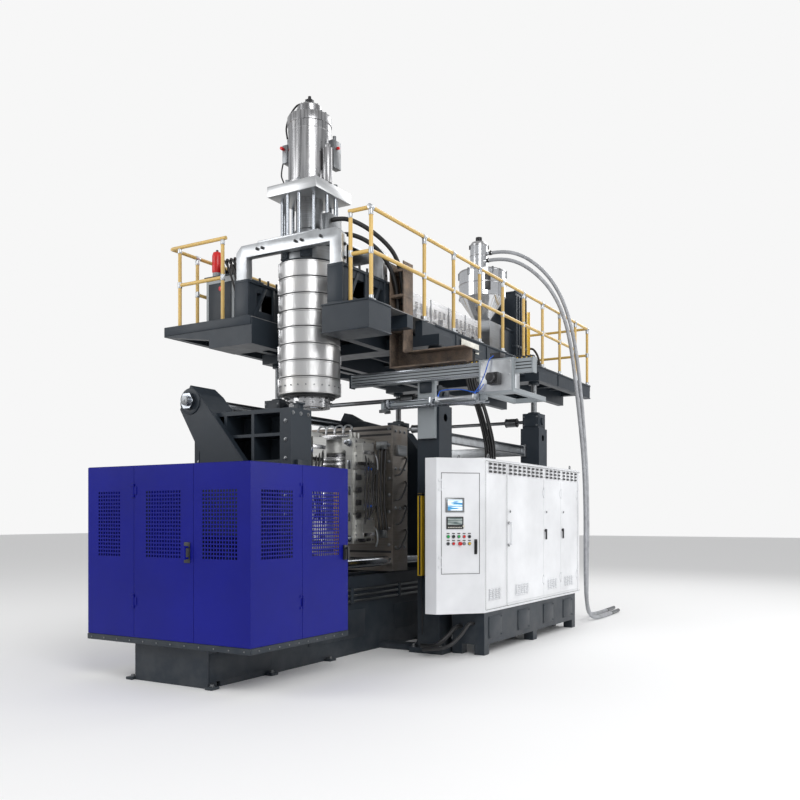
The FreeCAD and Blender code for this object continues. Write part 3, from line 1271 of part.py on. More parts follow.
def cable_bundle():
    """Cables from the platform's edge down to the cabinet's top."""
    cables = []
    for i in range(8):
        x, y = 1290 + 26 * (i % 4), 1560 + 55 * (i // 4) + 12 * (i % 4)
        top, foot = value_of("edge_low"), value_of("cab_top")
        points = [
            (x - 160, y, top), (x - 160, y, top - 190), (x - 110, y + 14, top - 440),
            (x - 10, y + 40, top - 700), (x + 50, y + 75, top - 960),
            (x + 58, y + 100, foot + 190), (x + 58, y + 100, foot),
        ]
        cables.append(hose(points, value_of("cable_rad"), f"cable {i + 1}"))
    return node("cable_bundle", feature(Part.Compound(cables)))


def valve_block():
    """Valve block on the head's side that the hoses leave."""
    block = box("ram_rad + 190", "345", "-120", "120", "portal_top + top_plate", "4760")
    return cut(block, *[
        rod("Z", f"guide_circle * cos({a})", f"guide_circle * sin({a})", "portal_top",
            "guide_rad", "400") for a in (15, -15)])


# ---------------------------------------------------------------- the machine
def main():
    """Build every sub-part, check it and write its file."""
    clamp_base()
    platen("front_platen", "-platen_face", -1, "0")
    platen("rear_platen", "platen_face - mould_step", 1, "seat_gap")
    mould("mould_front", -1)
    mould("mould_rear", 1)
    tie_bars()
    tie_bar_arm()
    rear_yoke()
    clamp_cylinder()
    clamp_rod()
    blow_pin()
    columns()
    jack_gearboxes()
    jack_screws()
    cross_shafts()
    light_curtains()
    guard_frame()
    guard_panels()
    guard_front_door()
    guard_side_door()
    cabinet_shell()
    for number in (1, 2, 3):
        cabinet_door(number)
    for number in (2, 3):
        cabinet_latch(number)
    hydraulic_tank()
    control_door()
    panel_instruments()
    for name in BUTTONS:
        push_button(name)
    platform_frame()
    platform_deck()
    head_supports()
    head_body()
    heater_bands()
    die_ring()
    die_mandrel()
    ram_cylinder()
    ram_rod()
    extruder_barrel()
    extruder_screw()
    barrel_cover()
    drive_gearbox()
    belt_guard()
    drive_motor()
    feed_hopper()
    vacuum_loader()
    railings()
    walkway_units()
    cable_tray()
    takeout_beam()
    takeout_carriage()
    free_hose("loader_hose_1", LOADER_HOSE_1, "hose_rad")
    free_hose("loader_hose_2", LOADER_HOSE_2, "hose_rad")
    free_hose("head_hose_upper", HEAD_HOSE_UPPER, "head_hose_rad")
    free_hose("head_hose_lower", HEAD_HOSE_LOWER, "head_hose_rad")
    suction_lances()
    cable_bundle()
    doc.recompute()
    faults = [o.Name for o in doc.Objects if {"Invalid", "Error"} & set(o.State)]
    faults += [n.Label for n in NODES if n.Shape.isNull() or not n.Shape.isValid()]
    if faults:
        raise RuntimeError(f"these did not build: {faults}")
    os.makedirs("parts", exist_ok=True)
    for piece in NODES:
        piece.Shape.exportStep(f"parts/{piece.Label}.step")
    print(len(NODES), "nodes")


main()
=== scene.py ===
"""Looks of the blow moulding machine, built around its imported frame.

Everything is in metres in the frame's own axes: +Z up, +Y along the extruder,
+X towards the electrical cabinet, origin on the floor under the head.
"""
from __future__ import annotations

import logging
import math
import random
from dataclasses import dataclass, field
from enum import Enum
from typing import Iterable, Optional, Sequence

import bmesh
import bpy
from mathutils import Matrix, Vector


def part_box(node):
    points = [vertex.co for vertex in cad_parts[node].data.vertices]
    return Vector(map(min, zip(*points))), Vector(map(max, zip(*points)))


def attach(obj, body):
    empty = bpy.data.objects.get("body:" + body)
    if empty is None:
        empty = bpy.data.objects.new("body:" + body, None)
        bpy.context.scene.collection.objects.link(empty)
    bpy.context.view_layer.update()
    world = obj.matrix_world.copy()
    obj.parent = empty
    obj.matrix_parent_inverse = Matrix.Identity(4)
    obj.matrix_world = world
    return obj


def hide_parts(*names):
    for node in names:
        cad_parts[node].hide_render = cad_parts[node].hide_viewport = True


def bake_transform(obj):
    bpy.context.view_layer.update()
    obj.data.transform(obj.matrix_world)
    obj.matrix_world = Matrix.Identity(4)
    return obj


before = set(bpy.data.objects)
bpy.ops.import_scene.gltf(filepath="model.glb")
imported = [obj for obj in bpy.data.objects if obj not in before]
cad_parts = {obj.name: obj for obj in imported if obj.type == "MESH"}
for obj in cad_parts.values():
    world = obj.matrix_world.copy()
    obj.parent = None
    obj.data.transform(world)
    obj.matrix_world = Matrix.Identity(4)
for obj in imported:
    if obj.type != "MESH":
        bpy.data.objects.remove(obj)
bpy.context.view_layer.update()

log = logging.getLogger("machine")
Point = Sequence[float]


# ------------------------------------------------------------------ shader maths
class Value:
    """A shader socket that takes part in Python arithmetic."""

    def __init__(self, shader: "Shader", socket: bpy.types.NodeSocket) -> None:
        """Keep the socket and the shader that new nodes are added to."""
        self.shader = shader
        self.socket = socket

    def _math(self, operation: str, *others: object) -> "Value":
        """Add one Math node with this value first."""
        return self.shader.node("ShaderNodeMath", {"operation": operation}, self, *others)

    def __add__(self, other: object) -> "Value":
        """Sum."""
        return self._math("ADD", other)

    __radd__ = __add__

    def __sub__(self, other: object) -> "Value":
        """Difference."""
        return self._math("SUBTRACT", other)

    def __rsub__(self, other: float) -> "Value":
        """Difference with the number first."""
        return self.shader.node("ShaderNodeMath", {"operation": "SUBTRACT"}, other, self)

    def __mul__(self, other: object) -> "Value":
        """Product."""
        return self._math("MULTIPLY", other)

    __rmul__ = __mul__

    def band(self, low: float, high: float) -> "Value":
        """Rise from 0 at low to 1 at high, clamped."""
        return self.shader.node("ShaderNodeMapRange", {"clamp": True}, self, low, high, 0.0, 1.0)


class Shader:
    """One material's node tree, with short calls for its nodes."""

    def __init__(self, name: str) -> None:
        """Start an empty tree that ends in a Principled shader."""
        self.material = bpy.data.materials.new(name)
        self.material.use_nodes = True
        self.tree = self.material.node_tree
        self.tree.nodes.clear()
        self.output = self.tree.nodes.new("ShaderNodeOutputMaterial")
        self.principled = self.tree.nodes.new("ShaderNodeBsdfPrincipled")
        self.tree.links.new(self.principled.outputs[0], self.output.inputs[0])

    def node(self, kind: str, settings: dict, *inputs: object, out: int = 0) -> Value:
        """Add a node.

        Args:
            kind: the node's type.
            settings: attributes to set before its sockets are filled.
            inputs: numbers, colours or values for its sockets, in order; None skips one.
            out: which output the result reads.
        Returns:
            The chosen output as a Value.
        """
        made = self.tree.nodes.new(kind)
        for key, setting in settings.items():
            setattr(made, key, setting)
        for socket, given in zip(made.inputs, inputs):
            self._fill(socket, given)
        return Value(self, made.outputs[out])

    def _fill(self, socket: bpy.types.NodeSocket, given: object) -> None:
        """Link a value to a socket, or set the socket's own number."""
        if given is None:
            return
        if isinstance(given, Value):
            self.tree.links.new(given.socket, socket)
        else:
            socket.default_value = given

    def where(self, scale: Point = (1, 1, 1), turn: Point = (0, 0, 0)) -> Value:
        """Object coordinates, turned and stretched."""
        place = self.node("ShaderNodeTexCoord", {}, out=3)
        return self.node("ShaderNodeMapping", {}, place, None, tuple(turn), tuple(scale))

    def axis(self, index: int) -> Value:
        """One object coordinate in metres."""
        return self.node("ShaderNodeSeparateXYZ", {}, self.where(), out=index)

    def noise(self, scale: float, detail: float = 3.0, stretch: Point = (1, 1, 1)) -> Value:
        """Fractal noise over object coordinates."""
        return self.node("ShaderNodeTexNoise", {}, self.where(stretch), None, scale, detail, 0.55)

    def mix(self, factor: object, first: object, second: object) -> Value:
        """Blend two colours."""
        made = self.tree.nodes.new("ShaderNodeMix")
        made.data_type = "RGBA"
        for index, given in ((0, factor), (6, first), (7, second)):
            self._fill(made.inputs[index], given)
        return Value(self, made.outputs[2])

    def set(self, **sockets: object) -> "Shader":
        """Fill the Principled shader's sockets by name, with _ for a space."""
        for name, given in sockets.items():
            self._fill(self.principled.inputs[name.replace("_", " ")], given)
        return self

    def edges(self, radius: float) -> Value:
        """Rounded normal that catches light along sharp edges."""
        return self.node("ShaderNodeBevel", {"samples": 4}, radius)

    def bump(self, height: object, strength: float, distance: float, normal: Optional[Value]) -> Value:
        """A Bump node's normal."""
        made = self.tree.nodes.new("ShaderNodeBump")
        made.inputs["Strength"].default_value = strength
        made.inputs["Distance"].default_value = distance
        self._fill(made.inputs["Height"], height)
        self._fill(made.inputs["Normal"], normal)
        return Value(self, made.outputs[0])

    def worn_edges(self, radius: float) -> Value:
        """A mask that is 1 along convex edges, broken up by noise."""
        rounded = self.edges(radius)
        plain = self.node("ShaderNodeNewGeometry", {}, out=1)
        facing = self.node("ShaderNodeVectorMath", {"operation": "DOT_PRODUCT"}, rounded, plain, out=1)
        return (1 - facing).band(0.02, 0.2) * self.noise(38, 4).band(0.42, 0.62)


def rgba(colour: Point) -> tuple:
    """A colour with alpha 1."""
    return (*colour[:3], 1.0)


# ------------------------------------------------------------------ finishes
@dataclass(frozen=True)
class Paint:
    """Sprayed enamel with orange peel, dust and rubbed edges."""

    colour: Point
    roughness: float = 0.34
    peel: float = 0.12
    wear: float = 0.5
    under: Point = (0.3, 0.3, 0.31)
    dust: float = 0.06
    coat: float = 0.25
    sheen: float = 0.4

    def make(self, name: str) -> bpy.types.Material:
        """Build the material."""
        s = Shader(name)
        broad = s.noise(1.3, 4)
        tone = s.mix(broad.band(0.3, 0.72), rgba([c * 0.86 for c in self.colour]),
                     rgba([min(1, c * 1.1) for c in self.colour]))
        low = 1 - s.axis(2).band(0.0, 1.1)
        grime = low * s.noise(6, 5).band(0.35, 0.75) * self.dust
        tone = s.mix(grime, tone, rgba((0.34, 0.33, 0.31)))
        worn = s.worn_edges(0.006) * self.wear
        tone = s.mix(worn, tone, rgba(self.under))
        rough = s.noise(9, 4).band(0.2, 0.8) * 0.14 + (self.roughness - 0.07)
        peel = s.bump(s.noise(170, 2), self.peel, 0.002, s.edges(0.004))
        s.set(Base_Color=tone, Roughness=rough + grime * 0.4, Coat_Weight=self.coat,
              Coat_Roughness=0.18, Specular_IOR_Level=self.sheen, Normal=peel)
        return s.material


@dataclass(frozen=True)
class Metal:
    """Machined or rolled metal with streaks along or around one axis."""

    colour: Point
    roughness: float = 0.3
    streak: Point = (3, 3, 220)
    depth: float = 0.12
    stain: Point = (0.3, 0.24, 0.18)
    stained: float = 0.12
    variation: float = 0.18

    def make(self, name: str) -> bpy.types.Material:
        """Build the material."""
        s = Shader(name)
        lines = s.noise(1.0, 4, self.streak)
        cloud = s.noise(3.2, 5)
        tone = s.mix(lines.band(0.3, 0.7), rgba([c * (1 - self.variation) for c in self.colour]),
                     rgba([min(1, c * (1 + self.variation * 0.5)) for c in self.colour]))
        spots = cloud.band(0.52, 0.78) * self.stained
        tone = s.mix(spots, tone, rgba(self.stain))
        rough = lines * 0.16 + (self.roughness - 0.08) + spots * 0.8
        s.set(Base_Color=tone, Metallic=1.0, Roughness=rough,
              Normal=s.bump(lines, self.depth, 0.002, s.edges(0.003)))
        return s.material


@dataclass(frozen=True)
class BandSheet:
    """Bright heater-band sheet: crinkled, with faint heat tint near its seams."""

    colour: Point = (0.60, 0.60, 0.60)

    def make(self, name: str) -> bpy.types.Material:
        """Build the material."""
        s = Shader(name)
        crinkle = s.noise(7, 3, (1, 1, 0.35))
        fine = s.noise(60, 3, (1, 1, 3))
        tint = s.noise(2.4, 4).band(0.45, 0.75) * 0.35
        tone = s.mix(tint, rgba(self.colour), rgba((0.66, 0.6, 0.5)))
        tone = s.mix(fine.band(0.5, 0.8) * 0.25, tone, rgba((0.55, 0.55, 0.56)))
        normal = s.bump(fine, 0.1, 0.002, s.bump(crinkle, 0.3, 0.02, None))
        s.set(Base_Color=tone, Metallic=0.92, Roughness=crinkle * 0.16 + 0.26, Normal=normal)
        return s.material


@dataclass(frozen=True)
class Rusty:
    """Weathered sheet steel, brown in patches."""

    def make(self, name: str) -> bpy.types.Material:
        """Build the material."""
        s = Shader(name)
        patch = s.noise(5, 6).band(0.38, 0.62)
        speck = s.noise(70, 4).band(0.45, 0.7)
        tone = s.mix(patch, rgba((0.10, 0.085, 0.075)), rgba((0.23, 0.17, 0.13)))
        tone = s.mix(speck * 0.5, tone, rgba((0.33, 0.24, 0.17)))
        s.set(Base_Color=tone, Metallic=(1 - patch) * 0.5, Roughness=patch * 0.25 + 0.5,
              Normal=s.bump(speck, 0.25, 0.003, s.edges(0.003)))
        return s.material


@dataclass(frozen=True)
class Chequer:
    """Chequer deck plate with raised tears in alternate directions."""

    def make(self, name: str) -> bpy.types.Material:
        """Build the material."""
        s = Shader(name)
        bars = []
        for turn in (math.radians(45), math.radians(-45)):
            grid = s.node("ShaderNodeTexWave", {"wave_type": "BANDS", "bands_direction": "X"},
                          s.where((1, 1, 1), (0, 0, turn)), 18.0, 0.0)
            bars.append(Value(s, grid.socket.node.outputs[1]).band(0.7, 0.9))
        tears = bars[0] * (1 - bars[1]) + bars[1] * (1 - bars[0])
        dirt = s.noise(2.2, 6).band(0.35, 0.75)
        tone = s.mix(dirt * 0.6, rgba((0.42, 0.42, 0.42)), rgba((0.16, 0.15, 0.14)))
        s.set(Base_Color=tone, Metallic=0.85, Roughness=dirt * 0.2 + 0.38,
              Normal=s.bump(tears, 0.5, 0.004, None))
        return s.material


@dataclass(frozen=True)
class Moulded:
    """Moulded plastic or rubber with a fine grain."""

    colour: Point
    roughness: float = 0.45
    grain: float = 0.1

    def make(self, name: str) -> bpy.types.Material:
        """Build the material."""
        s = Shader(name)
        mottled = s.noise(11, 4)
        tone = s.mix(mottled.band(0.3, 0.7), rgba([c * 0.8 for c in self.colour]),
                     rgba([min(1, c * 1.2 + 0.004) for c in self.colour]))
        s.set(Base_Color=tone, Roughness=mottled * 0.18 + (self.roughness - 0.09),
              Normal=s.bump(s.noise(420, 2), self.grain, 0.001, None))
        return s.material


@dataclass(frozen=True)
class Screen:
    """Lit instrument glass with plain fields of colour."""

    ground: Point = (0.05, 0.22, 0.42)
    field_colour: Point = (0.75, 0.85, 0.92)
    glow: float = 0.7

    def make(self, name: str) -> bpy.types.Material:
        """Build the material."""
        s = Shader(name)
        rows = s.noise(1.0, 1, (6, 6, 95)).band(0.47, 0.53)
        lit = s.mix(rows, rgba(self.ground), rgba(self.field_colour))
        s.set(Base_Color=lit, Roughness=0.12, Emission_Color=lit, Emission_Strength=self.glow)
        return s.material


class Finish(Enum):
    """Every finish on the machine, with the frame's material slot it belongs to."""

    GUARD_BLUE = ("guard_blue",
                  Paint((0.004, 0.007, 0.21), 0.36, 0.03, 0.0, (0.02, 0.03, 0.3), 0.0, 0.06, 0.15))
    DARK = ("dark_paint", Paint((0.024, 0.032, 0.042), 0.42, 0.06, 0.3, (0.14, 0.15, 0.17), 0.1, 0.08, 0.25))
    LIGHT = ("light_paint", Paint((0.30, 0.33, 0.35), 0.38, 0.12, 0.3, (0.25, 0.25, 0.26), 0.3, 0.15))
    CABINET = ("cabinet_white",
               Paint((0.80, 0.81, 0.83), 0.42, 0.05, 0.08, (0.5, 0.5, 0.52), 0.05, 0.05, 0.2))
    PLATE = ("machined_plate", Metal((0.25, 0.23, 0.21), 0.42, (2, 2, 160), 0.1, (0.2, 0.13, 0.08), 0.3))
    MOULD = ("mould_metal", Metal((0.60, 0.60, 0.58), 0.42, (4, 4, 60), 0.1, (0.42, 0.4, 0.36), 0.3, 0.12))
    BAR = ("bright_bar", Metal((0.36, 0.38, 0.41), 0.18, (60, 3, 60), 0.03, (0.2, 0.2, 0.2), 0.1, 0.08))
    STEEL = ("steel", Metal((0.24, 0.25, 0.26), 0.36, (4, 4, 120), 0.12, (0.18, 0.13, 0.1), 0.3))
    STAINLESS = ("stainless", Metal((0.50, 0.50, 0.51), 0.22, (2, 2, 260), 0.05, (0.3, 0.28, 0.25), 0.1, 0.3))
    CYLINDER = ("stainless",
                Metal((0.46, 0.46, 0.47), 0.26, (46, 46, 1.2), 0.04, (0.2, 0.18, 0.16), 0.25, 0.62))
    MACHINED = ("steel", Metal((0.62, 0.63, 0.64), 0.34, (2, 2, 90), 0.05, (0.4, 0.38, 0.36), 0.1, 0.15))
    BAND = ("band_steel", BandSheet())
    RUST = ("tray_steel", Rusty())
    DECK = ("deck_steel", Chequer())
    YELLOW = ("safety_yellow", Paint((0.75, 0.47, 0.02), 0.33, 0.1, 0.3))
    RAIL = ("rail_paint", Paint((0.66, 0.44, 0.13), 0.35, 0.1, 0.6, (0.6, 0.6, 0.58), 0.1))
    GALVANISED = ("steel", Metal((0.56, 0.58, 0.60), 0.36, (9, 9, 9), 0.1, (0.5, 0.5, 0.5), 0.2, 0.2))
    BLACK = ("black_plastic", Moulded((0.014, 0.014, 0.016), 0.38))
    RUBBER = ("black_rubber", Moulded((0.013, 0.013, 0.014), 0.5, 0.2))
    HOSE = ("grey_hose", Moulded((0.36, 0.37, 0.39), 0.42, 0.15))
    GREEN = ("green_plastic", Moulded((0.01, 0.36, 0.07), 0.25, 0.03))
    RED = ("red_plastic", Moulded((0.62, 0.012, 0.012), 0.25, 0.03))
    TUBE_BLUE = ("guard_blue", Moulded((0.02, 0.12, 0.6), 0.3, 0.03))
    PALE = ("cabinet_white", Moulded((0.72, 0.70, 0.62), 0.4, 0.08))
    GLASS_BLUE = ("black_plastic", Screen())
    GLASS_GREY = ("black_plastic", Screen((0.30, 0.34, 0.33), (0.09, 0.12, 0.12), 0.25))

    def material(self) -> bpy.types.Material:
        """The finish's material, built the first time it is asked for."""
        name = f"finish_{self.name.lower()}"
        return bpy.data.materials.get(name) or self.value[1].make(name)

    def slot(self) -> str:
        """The frame's material slot."""
        return self.value[0]


# ------------------------------------------------------------------ mesh making
AXES = {"X": Vector((1, 0, 0)), "Y": Vector((0, 1, 0)), "Z": Vector((0, 0, 1))}


class Solid:
    """A mesh under construction, made of boxes, bars, prisms, lathed and swept forms."""

    def __init__(self) -> None:
        """Start empty."""
        self.mesh = bmesh.new()

    def _loft(self, rings: list[list[Vector]], close: bool = False, caps: bool = True) -> "Solid":
        """Skin rings of equal length; optionally join the last to the first."""
        made = [[self.mesh.verts.new(p) for p in ring] for ring in rings]
        pairs = list(zip(made, made[1:])) + ([(made[-1], made[0])] if close else [])
        for here, there in pairs:
            count = len(here)
            for i in range(count):
                j = (i + 1) % count
                self.mesh.faces.new((here[i], here[j], there[j], there[i]))
        if caps and not close:
            self.mesh.faces.new(list(reversed(made[0])))
            self.mesh.faces.new(made[-1])
        return self

    def box(self, low: Point, high: Point, matrix: Optional[Matrix] = None) -> "Solid":
        """A block between two corners, carried by a matrix if one is given."""
        (x0, y0, z0), (x1, y1, z1) = low, high
        rings = [[Vector(p) for p in ((x0, y0, z), (x1, y0, z), (x1, y1, z), (x0, y1, z))]
                 for z in (z0, z1)]
        if matrix:
            rings = [[matrix @ p for p in ring] for ring in rings]
        return self._loft(rings)

    def bar(self, start: Point, end: Point, radius: float, sides: int = 24,
            end_radius: Optional[float] = None) -> "Solid":
        """A round or many-sided bar between two points, tapered if end_radius is given."""
        a, b = Vector(start), Vector(end)
        turn = (b - a).to_track_quat("Z", "Y")
        rings = []
        for centre, size in ((a, radius), (b, radius if end_radius is None else end_radius)):
            rings.append([centre + turn @ Vector((size * math.cos(t), size * math.sin(t), 0))
                          for t in (2 * math.pi * i / sides for i in range(sides))])
        return self._loft(rings)

    def prism(self, plane: str, outline: Iterable[tuple[float, float]], low: float,
              high: float) -> "Solid":
        """A polygon in the XY, XZ or YZ plane, extruded along the third axis."""
        spots = list(outline)
        make = {"XY": lambda u, v, w: Vector((u, v, w)), "XZ": lambda u, v, w: Vector((u, w, v)),
                "YZ": lambda u, v, w: Vector((w, u, v))}[plane]
        return self._loft([[make(u, v, w) for u, v in spots] for w in (low, high)])

    def lathe(self, centre: Point, profile: Iterable[tuple[float, float]], sides: int = 64,
              axis: str = "Z", closed: bool = False) -> "Solid":
        """Turn (radius, along) pairs about an axis through a centre."""
        middle = Vector(centre)
        turn = AXES[axis].to_track_quat("Z", "Y")
        rings = []
        for radius, along in profile:
            rings.append([middle + turn @ Vector((radius * math.cos(t), radius * math.sin(t), along))
                          for t in (2 * math.pi * i / sides for i in range(sides))])
        return self._loft(rings, close=closed)

    def sweep(self, path: Sequence[Point], radius: float, sides: int = 12,
              ribs: float = 0.0) -> "Solid":
        """A round tube along points; ribs is the share by which every other ring stands out."""
        spots = [Vector(p) for p in path]
        rings = []
        normal: Optional[Vector] = None
        for i, spot in enumerate(spots):
            ahead = (spots[min(i + 1, len(spots) - 1)] - spots[max(i - 1, 0)]).normalized()
            if normal is None:
                normal = ahead.orthogonal().normalized()
            normal = (normal - ahead * normal.dot(ahead)).normalized()
            side = ahead.cross(normal)
            size = radius * (1 + ribs * (1 if i % 2 else -1))
            rings.append([spot + size * (math.cos(t) * normal + math.sin(t) * side)
                          for t in (2 * math.pi * k / sides for k in range(sides))])
        return self._loft(rings)

    def bent(self, path: Sequence[Point], radius: float, sides: int = 12, steps: int = 6) -> "Solid":
        """A tube along a smooth curve that passes through given points."""
        return self.sweep(through(path, steps), radius, sides)

    def bolts(self, spots: Iterable[Point], axis: str, radius: float, tall: float,
              sides: int = 6) -> "Solid":
        """Bolt heads that stand on a face along an axis, given with its sign as in -Y."""
        way = AXES[axis[-1]] * (-1 if axis.startswith("-") else 1)
        for spot in spots:
            base = Vector(spot)
            self.bar(base - way * 0.001, base + way * tall * 0.25, radius * 1.45, 16)
            self.bar(base + way * tall * 0.25, base + way * tall, radius, sides)
        return self

    def piece(self, name: str, finish: Finish, body: Optional[str], bevel: float = 0.003,
              smooth: float = 35, replaces: Sequence[str] = ()) -> bpy.types.Object:
        """Finish the mesh as an object that rides on a body.

        Args:
            name: the piece's name.
            finish: its finish.
            body: the frame body that it moves with, None to leave it riding on no body.
            bevel: width of its edge rounding, 0 for none.
            smooth: angle in degrees under which faces shade as one.
            replaces: frame nodes that this piece stands for.
        Returns:
            The finished object.
        """
        mesh = bpy.data.meshes.new(name)
        bmesh.ops.recalc_face_normals(self.mesh, faces=self.mesh.faces)
        self.mesh.to_mesh(mesh)
        self.mesh.free()
        made = bpy.data.objects.new(name, mesh)
        bpy.context.scene.collection.objects.link(made)
        if bevel:
            rounding = made.modifiers.new("edge", "BEVEL")
            rounding.width = bevel
            rounding.segments = 2
            rounding.limit_method = "ANGLE"
            rounding.angle_limit = math.radians(38)
            rounding.harden_normals = False
            settle(made)
        return dress(made, finish, body, smooth, replaces)


def through(path: Sequence[Point], steps: int = 6) -> list[Vector]:
    """Points of a smooth curve through given ones."""
    spots = [Vector(p) for p in path]
    spots = [spots[0] * 2 - spots[1]] + spots + [spots[-1] * 2 - spots[-2]]
    result = []
    for a, b, c, d in zip(spots, spots[1:], spots[2:], spots[3:]):
        for k in range(steps):
            u = k / steps
            result.append(0.5 * (2 * b + (c - a) * u + (2 * a - 5 * b + 4 * c - d) * u ** 2
                                 + (3 * b - a - 3 * c + d) * u ** 3))
    return result + [spots[-2]]


def settle(thing: bpy.types.Object) -> None:
    """Turn an object's modifiers into plain mesh."""
    bpy.context.view_layer.update()
    graph = bpy.context.evaluated_depsgraph_get()
    mesh = bpy.data.meshes.new_from_object(thing.evaluated_get(graph), depsgraph=graph)
    old = thing.data
    thing.modifiers.clear()
    thing.data = mesh
    if isinstance(old, bpy.types.Mesh):
        bpy.data.meshes.remove(old)


def dress(thing: bpy.types.Object, finish: Finish, body: Optional[str], smooth: float = 35,
          replaces: Sequence[str] = ()) -> bpy.types.Object:
    """Give a finished mesh its material and shading, and let it ride on a body, if one is given."""
    mesh = thing.data
    mesh.materials.clear()
    mesh.materials.append(finish.material())
    mesh.shade_flat()
    if smooth:
        mesh.shade_smooth()
        mesh.set_sharp_from_angle(angle=math.radians(smooth))
    if body:
        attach(thing, body)
    if replaces:
        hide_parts(*replaces)
    return thing


# ------------------------------------------------------------------ repeated shapes
class Unit(Enum):
    """The small shape that a repeater copies."""

    BLOCK = "GeometryNodeMeshCube"
    STUD = "GeometryNodeMeshCylinder"


@dataclass
class Repeater:
    """A Geometry Nodes grid of one small shape, baked to a plain mesh.

    Attributes:
        name: the piece's name.
        unit: the shape that is copied.
        size: the shape's size along its own axes; a stud's is (radius, sides, depth).
        start: centre of the first copy.
        steps: two spacings, one for each direction of the grid.
        counts: how many copies along each spacing.
        turn: rotation of every copy.
    """

    name: str
    unit: Unit
    size: Point
    start: Point
    steps: tuple[Point, Point]
    counts: tuple[int, int]
    turn: Point = (0.0, 0.0, 0.0)

    def _tree(self) -> bpy.types.NodeTree:
        """The node group for this unit, made once."""
        name = f"repeat_{self.unit.name.lower()}"
        found = bpy.data.node_groups.get(name)
        if found:
            return found
        tree = bpy.data.node_groups.new(name, "GeometryNodeTree")
        face = tree.interface
        face.new_socket("Geometry", in_out="OUTPUT", socket_type="NodeSocketGeometry")
        for label, kind in (("Size", "Vector"), ("Start", "Vector"), ("Turn", "Vector"),
                            ("Step U", "Vector"), ("Step V", "Vector"), ("Count U", "Int"),
                            ("Count V", "Int"), ("Sides", "Int"), ("Material", "Material")):
            face.new_socket(label, in_out="INPUT", socket_type=f"NodeSocket{kind}")
        add = tree.nodes.new
        join = tree.links.new
        given = add("NodeGroupInput").outputs
        rows = []
        for axis in "UV":
            line = add("GeometryNodeMeshLine")
            line.mode = "OFFSET"
            join(given[f"Count {axis}"], line.inputs["Count"])
            join(given[f"Step {axis}"], line.inputs["Offset"])
            rows.append(line)
        join(given["Start"], rows[0].inputs["Start Location"])
        across = add("GeometryNodeInstanceOnPoints")
        join(rows[0].outputs[0], across.inputs["Points"])
        join(rows[1].outputs[0], across.inputs["Instance"])
        spots = add("GeometryNodeRealizeInstances")
        join(across.outputs[0], spots.inputs[0])
        shape = add(self.unit.value)
        if self.unit is Unit.BLOCK:
            join(given["Size"], shape.inputs["Size"])
        else:
            parts = add("ShaderNodeSeparateXYZ")
            join(given["Size"], parts.inputs[0])
            join(parts.outputs[0], shape.inputs["Radius"])
            join(parts.outputs[2], shape.inputs["Depth"])
            join(given["Sides"], shape.inputs["Vertices"])
        copies = add("GeometryNodeInstanceOnPoints")
        join(spots.outputs[0], copies.inputs["Points"])
        join(shape.outputs["Mesh"], copies.inputs["Instance"])
        turned = add("FunctionNodeEulerToRotation")
        join(given["Turn"], turned.inputs[0])
        join(turned.outputs[0], copies.inputs["Rotation"])
        real = add("GeometryNodeRealizeInstances")
        join(copies.outputs[0], real.inputs[0])
        coloured = add("GeometryNodeSetMaterial")
        join(real.outputs[0], coloured.inputs["Geometry"])
        join(given["Material"], coloured.inputs["Material"])
        join(coloured.outputs[0], add("NodeGroupOutput").inputs[0])
        return tree

    def build(self, finish: Finish, body: str, bevel: float = 0.0) -> bpy.types.Object:
        """Make the grid and let it ride on a body."""
        tree = self._tree()
        thing = bpy.data.objects.new(self.name, bpy.data.meshes.new(self.name))
        bpy.context.scene.collection.objects.link(thing)
        grid = thing.modifiers.new("grid", "NODES")
        grid.node_group = tree
        values = {"Size": tuple(self.size), "Start": tuple(self.start), "Turn": tuple(self.turn),
                  "Step U": tuple(self.steps[0]), "Step V": tuple(self.steps[1]),
                  "Count U": self.counts[0], "Count V": self.counts[1],
                  "Sides": max(3, int(self.size[1])), "Material": finish.material()}
        for item in tree.interface.items_tree:
            if item.in_out == "INPUT":
                grid[item.identifier] = values[item.name]
        settle(thing)
        if bevel:
            rounding = thing.modifiers.new("edge", "BEVEL")
            rounding.width = bevel
            rounding.segments = 2
            settle(thing)
        return dress(thing, finish, body)


@dataclass
class Node:
    """A frame node's own corners, for placing pieces on it."""

    name: str
    low: Vector = field(init=False)
    high: Vector = field(init=False)

    def __post_init__(self) -> None:
        """Read the corners from the frame."""
        self.low, self.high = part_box(self.name)


FRAME, PLATFORM, FRONT, REAR = "frame", "platform", "front_carriage", "rear_carriage"

